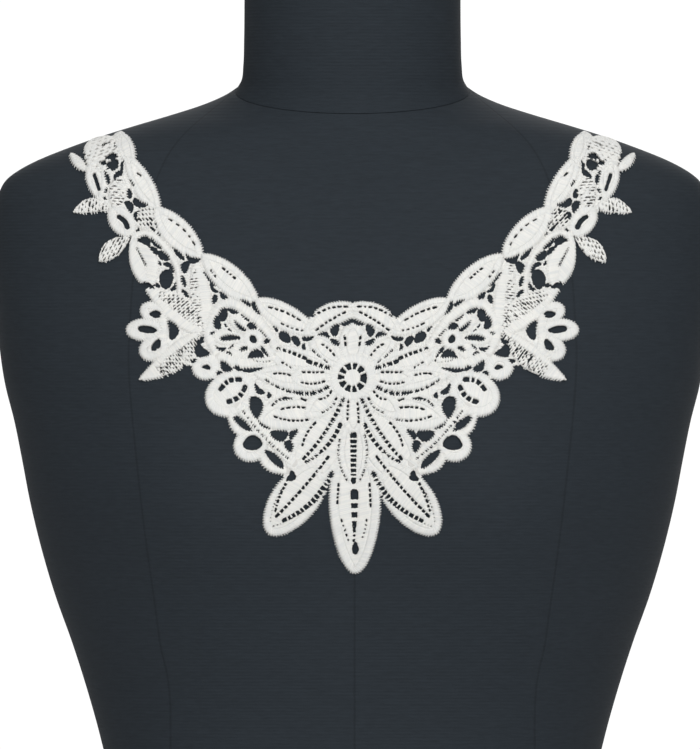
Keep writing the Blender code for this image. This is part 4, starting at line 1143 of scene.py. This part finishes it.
def thread_mesh(name, chart, surface, runs, rng):
    """Satin threads as half-round strips over the ground."""
    s = chart.settings
    columns = np.array(THREAD_ACROSS) * (THREAD_HALF_WIDTH * s.thread_pitch / SQUARE)
    rise = np.array(THREAD_PROFILE) * s.thread_crest
    flat, lift, faces, along, tone = [], [], [], [], []
    base = 0
    for p, q, zone in runs:
        length = np.hypot(*(q - p))
        run = (q - p) / length
        side = np.array([-run[1], run[0]])
        count = max(int(round(length / THREAD_STEP)), 1) + 1
        at = np.concatenate([[-TIP_LENGTH], np.linspace(0, length, count), [length + TIP_LENGTH]])
        middle = p + at[:, None] * run
        points = middle[:, None] + columns[None, :, None] * side
        narrow = np.ones(len(at))
        narrow[[0, -1]] = TIP_WIDTH
        points = middle[:, None] + (points - middle[:, None]) * narrow[:, None, None]
        height = chart.at(chart.height, np.clip(middle, p.clip(max=q), np.maximum(p, q)))
        up = height[:, None] + rise * (1 + CREST_SPREAD * rng.standard_normal())
        up[[0, -1]] = TIP_HEIGHT * height[[0, -1], None] + TIP_RISE * rise
        flat.append(points.reshape(-1, 2))
        lift.append(up.ravel())
        rows = len(at)
        corner = base + np.arange(rows - 1)[:, None] * 4 + np.arange(3)
        faces.append(np.stack([corner, corner + 4, corner + 5, corner + 1], -1).reshape(-1, 4))
        along.append(np.repeat(at * SQUARE / MM + rng.uniform(0, TWIST_SHIFT), 4))
        plain_tone = BORDER_TONE if zone else CORE_TONE
        tone.append(np.full(rows * 4, plain_tone + TONE_SPREAD * rng.standard_normal()))
        base += rows * 4
    flat, lift = np.concatenate(flat), np.concatenate(lift)
    faces = np.concatenate(faces)
    placed = surface.place(flat, s.clearance + lift)
    body = add_mesh(name, placed, faces.tolist())
    mesh = body.data
    mesh.attributes.new("tone", "FLOAT", "POINT").data.foreach_set("value", np.concatenate(tone))
    corner = np.empty(len(mesh.loops), np.int32)
    mesh.loops.foreach_get("vertex_index", corner)
    across = np.tile((np.array(THREAD_ACROSS) + 1) / 2, len(flat) // 4)
    uv = np.column_stack([np.concatenate(along)[corner], across[corner]])
    mesh.uv_layers.new(name="twist").data.foreach_set("uv", uv.ravel())
    return body


def facing_out(body, surface_out):
    """Turns a strip mesh's faces so that they look away from the form."""
    mesh = body.data
    normals = np.empty(len(mesh.polygons) * 3)
    mesh.polygons.foreach_get("normal", normals)
    if (normals.reshape(-1, 3) @ surface_out).mean() < 0:
        mesh.flip_normals()


def add_node(tree, kind, values=None, **settings):
    """A node with its settings, its inputs given as values or as the sockets that feed them."""
    node = tree.nodes.new(kind)
    for key, value in settings.items():
        setattr(node, key, value)
    for key, value in (values or {}).items():
        if isinstance(value, bpy.types.NodeSocket):
            tree.links.new(value, node.inputs[key])
        else:
            node.inputs[key].default_value = value
    return node


def maths(tree, operation, first, second=0.0, third=0.0):
    """What a node of the given sum puts out."""
    node = add_node(tree, "ShaderNodeMath", {0: first, 1: second, 2: third}, operation=operation)
    return node.outputs[0]


def node_group(name, inputs, outputs):
    """A node group with named inputs and outputs, and the sockets that its nodes read from."""
    made = bpy.data.node_groups.new(name, "ShaderNodeTree")
    for way, sockets in (("INPUT", inputs), ("OUTPUT", outputs)):
        for label, kind in sockets.items():
            made.interface.new_socket(label, in_out=way, socket_type="NodeSocket" + kind)
    return made, made.nodes.new("NodeGroupInput").outputs


def grain_group(name):
    """Fine noise on a body, stretched along its axes."""
    made, given = node_group(name, {
        "Stretch": "Vector", "Scale": "Float", "Detail": "Float", "Roughness": "Float"},
        {"Grain": "Float", "Place": "Vector"})
    place = add_node(made, "ShaderNodeTexCoord").outputs["Object"]
    stretched = add_node(made, "ShaderNodeMapping", {"Vector": place, "Scale": given["Stretch"]}).outputs[0]
    noise = add_node(made, "ShaderNodeTexNoise", {
        "Vector": stretched, "Scale": given["Scale"], "Detail": given["Detail"],
        "Roughness": given["Roughness"]})
    add_node(made, "NodeGroupOutput", {"Grain": noise.outputs[0], "Place": place})
    return made


def relief_group(name):
    """Two tones mixed by a share, and a bump from a height."""
    made, given = node_group(name, {
        "Share": "Float", "Dark": "Color", "Light": "Color", "Height": "Float", "Strength": "Float",
        "Distance": "Float"}, {"Colour": "Color", "Normal": "Vector"})
    tint = add_node(made, "ShaderNodeMix", {0: given["Share"], 6: given["Dark"], 7: given["Light"]},
                    data_type="RGBA")
    bump = add_node(made, "ShaderNodeBump", {key: given[key] for key in ("Strength", "Distance", "Height")})
    add_node(made, "NodeGroupOutput", {"Colour": tint.outputs[2], "Normal": bump.outputs[0]})
    return made


def shared(name, group_of):
    """An effect's node group, built where it is first called for."""
    return bpy.data.node_groups.get(name) or group_of(name)


def grain(tree, scale, detail, stretch=(1.0, 1.0, 1.0), roughness=0.5):
    """Places the grain in a material with its own values: the grain and the places that it is read at."""
    placed = add_node(tree, "ShaderNodeGroup", {
        "Stretch": stretch, "Scale": scale, "Detail": detail, "Roughness": roughness},
        node_tree=shared("grain", grain_group))
    return placed.outputs["Grain"], placed.outputs["Place"]


def plain_material(name):
    made = bpy.data.materials.new(name)
    made.use_nodes = True
    return made, made.node_tree, made.node_tree.nodes["Principled BSDF"]


def finish_material(tree, shader, share, dark, light, height, strength, distance, **finish):
    """Places the tinted relief in a material with its own values, and sets the shader's finish."""
    relief = add_node(tree, "ShaderNodeGroup", {
        "Share": share, "Dark": (*dark, 1), "Light": (*light, 1), "Height": height, "Strength": strength,
        "Distance": distance}, node_tree=shared("tinted_relief", relief_group))
    tree.links.new(relief.outputs["Colour"], shader.inputs["Base Color"])
    tree.links.new(relief.outputs["Normal"], shader.inputs["Normal"])
    for key, value in finish.items():
        shader.inputs[key.replace("_", " ")].default_value = value


def toned(colour, *shares):
    """A colour at a share of its strength, or at one for each channel."""
    return tuple(c * k for c, k in zip(colour, shares * (3 // len(shares))))


def thread_material(settings):
    """Mercerised thread: a fine twist along each thread and a slightly warmer or cooler white."""
    made, tree, shader = plain_material("satin_thread")
    uv = add_node(tree, "ShaderNodeUVMap", uv_map="twist").outputs[0]
    axes = add_node(tree, "ShaderNodeSeparateXYZ", {0: uv})
    lean = maths(tree, "MULTIPLY_ADD", axes.outputs[1], 0.55, axes.outputs[0])
    twist = maths(tree, "SINE", maths(tree, "MULTIPLY", lean, 2 * pi / TWIST_PITCH))
    tone = add_node(tree, "ShaderNodeAttribute", attribute_name="tone").outputs["Fac"]
    finish_material(tree, shader, tone, toned(settings.thread_colour, 0.93, 0.94, 0.945),
                    toned(settings.thread_colour, 1.05, 1.04, 1.02), twist, 0.35, 0.04 * MM,
                    Roughness=0.62, Sheen_Weight=0.12, Subsurface_Weight=0.08,
                    Subsurface_Radius=(0.0012, 0.0011, 0.001))
    return made


def ground_material(settings):
    """The matted ground stitches under the satin."""
    made, tree, shader = plain_material("lace_ground")
    fuzz, _ = grain(tree, 2600.0, 2.0)
    finish_material(tree, shader, fuzz, toned(settings.ground_colour, 0.9), settings.ground_colour, fuzz,
                    0.4, 0.08 * MM, Roughness=0.8)
    return made


def cover_material(settings):
    """Ribbed cloth of the form's cover, with its seams."""
    made, tree, shader = plain_material("ribbed_cover")
    streaks, place = grain(tree, 900.0, 3.0, (0.16, 0.16, 1.0), 0.6)
    axes = add_node(tree, "ShaderNodeSeparateXYZ", {0: place})
    ribs = maths(tree, "SINE", maths(tree, "MULTIPLY", axes.outputs[2], 2 * pi / RIB_PITCH))
    beside = add_node(tree, "ShaderNodeAttribute", attribute_name="side_seam").outputs["Fac"]
    centre = add_node(tree, "ShaderNodeAttribute", attribute_name="middle_seam").outputs["Fac"]
    seam = maths(tree, "MINIMUM", maths(tree, "ABSOLUTE", beside), maths(tree, "ABSOLUTE", centre))
    line = add_node(tree, "ShaderNodeMapRange", {
        0: seam, 1: SEAM_EDGES[0], 2: SEAM_EDGES[1], 3: 1.0, 4: 0.0}).outputs[0]
    height = maths(tree, "MULTIPLY_ADD", line, -1.6, maths(tree, "MULTIPLY_ADD", ribs, 0.5, streaks))
    shade = maths(tree, "MULTIPLY_ADD", line, -0.45, streaks)
    finish_material(tree, shader, shade, toned(settings.cover_colour, 0.72),
                    toned(settings.cover_colour, 1.22), height, 0.4, 0.12 * MM, Roughness=0.8,
                    Specular_IOR_Level=0.2, Sheen_Weight=0.02, Sheen_Roughness=0.4)
    return made


def board_material(settings):
    """Painted board, slightly uneven."""
    made, tree, shader = plain_material("painted_board")
    mottle, _ = grain(tree, 320.0, 4.0)
    finish_material(tree, shader, mottle, settings.board_colour, toned(settings.board_colour, 1.5), mottle,
                    0.25, 0.1 * MM, Roughness=0.55)
    return made


def seam_distances(points):
    """How far each point lies outward of the side seams and right of the middle one, in metres."""
    x, height = points[:, 0], points[:, 2]
    princess = smooth_line(PRINCESS_SEAM[::-1], 5.0) * MM
    middle = np.array(MIDDLE_SEAM[::-1], float) * MM
    above = np.clip(height - middle[-1, 0], 0, None)
    return {"side_seam": np.abs(x) - np.interp(height, princess[:, 0], princess[:, 1]),
            "middle_seam": x - middle[0, 1] + above * np.sign(x - middle[0, 1])}


class NECKLINE_OT_form(bpy.types.Operator):
    """Builds the form's smooth cover and finishes its boards."""

    bl_idname = "neckline.form"
    bl_label = "Dress form"

    def execute(self, context):
        settings = context.scene.neckline
        cover = cover_material(settings)
        for name, sections, rows in (("form_torso", SECTIONS, settings.cover_rows),
                                     ("form_neck", NECK_SECTIONS, settings.cover_rows // 4)):
            heights = np.array([section.height for section in sections]) * MM
            share = np.linspace(0, len(heights) - 1, rows)
            levels = np.interp(share, np.arange(len(heights)), heights)
            rings = [form_ring(row, settings.cover_columns) for row in smooth_rows(sections, levels)]
            body = cover_mesh(name + "_cover", np.stack(rings))
            body.data.materials.append(cover)
            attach(body, "root")
            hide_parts(name)
        board = board_material(settings)
        for name in ("form_neck_cap", "form_base_board"):
            body = bpy.data.objects[name]
            body.data.materials.clear()
            body.data.materials.append(board)
        return {"FINISHED"}


def cover_mesh(name, rings):
    """A closed body through the rings, its ends closed with a flat or leaning cap."""
    rows, count = rings.shape[:2]
    points = rings.reshape(-1, 3).copy()
    points[:, 1] += SETBACK
    corner = np.arange(rows - 1)[:, None] * count + np.arange(count)
    beside = np.arange(rows - 1)[:, None] * count + (np.arange(count) + 1) % count
    faces = np.stack([corner, corner + count, beside + count, beside], -1).reshape(-1, 4).tolist()
    faces.append(list(range(count)))
    faces.append(list(range((rows - 1) * count, rows * count))[::-1])
    body = add_mesh(name, points, faces)
    body.data.set_sharp_from_angle(angle=radians(50))
    for label, values in seam_distances(points).items():
        body.data.attributes.new(label, "FLOAT", "POINT").data.foreach_set("value", values)
    return body


class NECKLINE_OT_lace(bpy.types.Operator):
    """Builds the lace: its ground wall and the satin threads over it."""

    bl_idname = "neckline.lace"
    bl_label = "Lace"

    def execute(self, context):
        settings = context.scene.neckline
        rng = np.random.default_rng(RANDOM_SEED)
        surface = FormSurface()
        chart = Chart(settings)
        points, polygons = contour_cells(chart)
        pitch = settings.thread_pitch / SQUARE
        runs = []
        for n, motif in enumerate(chart.motifs):
            runs += thread_runs(n, motif, chart, pitch)
        thread_piece = piece_of(np.array([(p + q) / 2 for p, q, _ in runs]))
        ground = ground_material(settings)
        thread = thread_material(settings)
        cell_piece = [piece_of(points[p].mean(axis=1)) for p in polygons]
        for k, name in enumerate(PIECES):
            mine = [p[piece == k] for p, piece in zip(polygons, cell_piece)]
            body = ground_mesh(name + "_ground", chart, surface, points, [p for p in mine if len(p)])
            body.data.materials.append(ground)
            threads = thread_mesh(name + "_threads", chart, surface,
                                  [runs[i] for i in np.flatnonzero(thread_piece == k)], rng)
            threads.data.materials.append(thread)
            facing_out(threads, np.array([0.0, -1.0, 0.3]))
            for piece in (body, threads):
                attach(piece, "root")
                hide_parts(PIECE_NODES[k])
            used = np.unique(np.concatenate([p.ravel() for p in mine]))
            flat_size(surface, points[used])
            stitched_area(surface, points, mine)
        return {"FINISHED"}


def flat_size(surface, points):
    """Width and length of the smallest rectangle that a piece is cut from, with the piece laid out flat."""
    flat = surface.laid_out(*seen_place(points))
    sizes = []
    for turn in range(0, 180, 3):
        along = flat @ (cos(radians(turn)), sin(radians(turn)))
        across = flat @ (-sin(radians(turn)), cos(radians(turn)))
        sizes.append(sorted((float(np.ptp(along)), float(np.ptp(across)))))
    return min(sizes, key=lambda size: size[0] * size[1])


def stitched_area(surface, points, polygons):
    """Area of the work's cells on the form's skin."""
    placed = surface.place(points, np.zeros(len(points)))
    total = 0.0
    for corners in polygons:
        spots = placed[corners]
        for k in range(1, corners.shape[1] - 1):
            sides = np.cross(spots[:, k] - spots[:, 0], spots[:, k + 1] - spots[:, 0])
            total += float(np.linalg.norm(sides, axis=1).sum()) / 2
    return total


class NECKLINE_OT_stage(bpy.types.Operator):
    """Sets the floor, the lights and the camera."""

    bl_idname = "neckline.stage"
    bl_label = "Stage"

    def execute(self, context):
        settings = context.scene.neckline
        made, _, shader = plain_material("pale_floor")
        shader.inputs["Base Color"].default_value = (0.8, 0.8, 0.8, 1)
        shader.inputs["Roughness"].default_value = 0.9
        corners = np.array([(-1, -1, 0), (1, -1, 0), (1, 1, 0), (-1, 1, 0)]) * FLOOR_HALF_SIZE
        floor = add_mesh("floor", corners, [[0, 1, 2, 3]])
        floor.data.materials.append(made)
        for each in LAMPS:
            light = bpy.data.lights.new(each.name, "AREA")
            light.shape = "SQUARE"
            light.size = each.width
            light.energy = each.power
            lamp = bpy.data.objects.new(each.name, light)
            context.scene.collection.objects.link(lamp)
            lamp.location = each.place
            aim = Vector(LAMP_AIM) - Vector(each.place)
            lamp.rotation_euler = aim.to_track_quat("-Z", "Y").to_euler()
            lamp.visible_camera = False
        world = bpy.data.worlds.new("studio")
        world.use_nodes = True
        backdrop = world.node_tree.nodes["Background"]
        backdrop.inputs[0].default_value = (1, 1, 1, 1)
        seen = add_node(world.node_tree, "ShaderNodeLightPath").outputs["Is Camera Ray"]
        strength = maths(world.node_tree, "MULTIPLY_ADD", seen, WORLD_SEEN, WORLD_LIGHT)
        world.node_tree.links.new(strength, backdrop.inputs[1])
        context.scene.world = world
        context.scene.view_settings.view_transform = "Standard"
        camera = bpy.data.cameras.new("front")
        distance = settings.camera_distance
        camera.sensor_width = CAMERA_SENSOR
        camera.lens = CAMERA_SENSOR * distance / (PHOTO_HEIGHT * SQUARE)
        camera.clip_end = CAMERA_REACH
        view = bpy.data.objects.new("front", camera)
        context.scene.collection.objects.link(view)
        view.location = ((PHOTO_WIDTH / 2 - MIDDLE_X) * SQUARE, LACE_PLANE - distance,
                         FLOWER_HEIGHT + (FLOWER_Y - PHOTO_HEIGHT / 2) * SQUARE)
        view.rotation_euler = (pi / 2, 0, 0)
        context.scene.camera = view
        return {"FINISHED"}


class NECKLINE_PT_panel(bpy.types.Panel):
    """Sizes, colours and build steps of the neckline."""

    bl_label = "Neckline"
    bl_idname = "NECKLINE_PT_panel"
    bl_space_type = "VIEW_3D"
    bl_region_type = "UI"
    bl_category = "Neckline"

    def draw(self, context):
        for name in NecklineSettings.__annotations__:
            self.layout.prop(context.scene.neckline, name)
        for operator in (NECKLINE_OT_form, NECKLINE_OT_lace, NECKLINE_OT_stage):
            self.layout.operator(operator.bl_idname)


CLASSES = (NecklineSettings, NECKLINE_OT_form, NECKLINE_OT_lace, NECKLINE_OT_stage, NECKLINE_PT_panel)


def register():
    for each in CLASSES:
        bpy.utils.register_class(each)
    bpy.types.Scene.neckline = bpy.props.PointerProperty(type=NecklineSettings)


def unregister():
    del bpy.types.Scene.neckline
    for each in reversed(CLASSES):
        bpy.utils.unregister_class(each)


def main():
    register()
    bpy.ops.neckline.form()
    bpy.ops.neckline.lace()
    bpy.ops.neckline.stage()


if __name__ == "__main__":
    main()
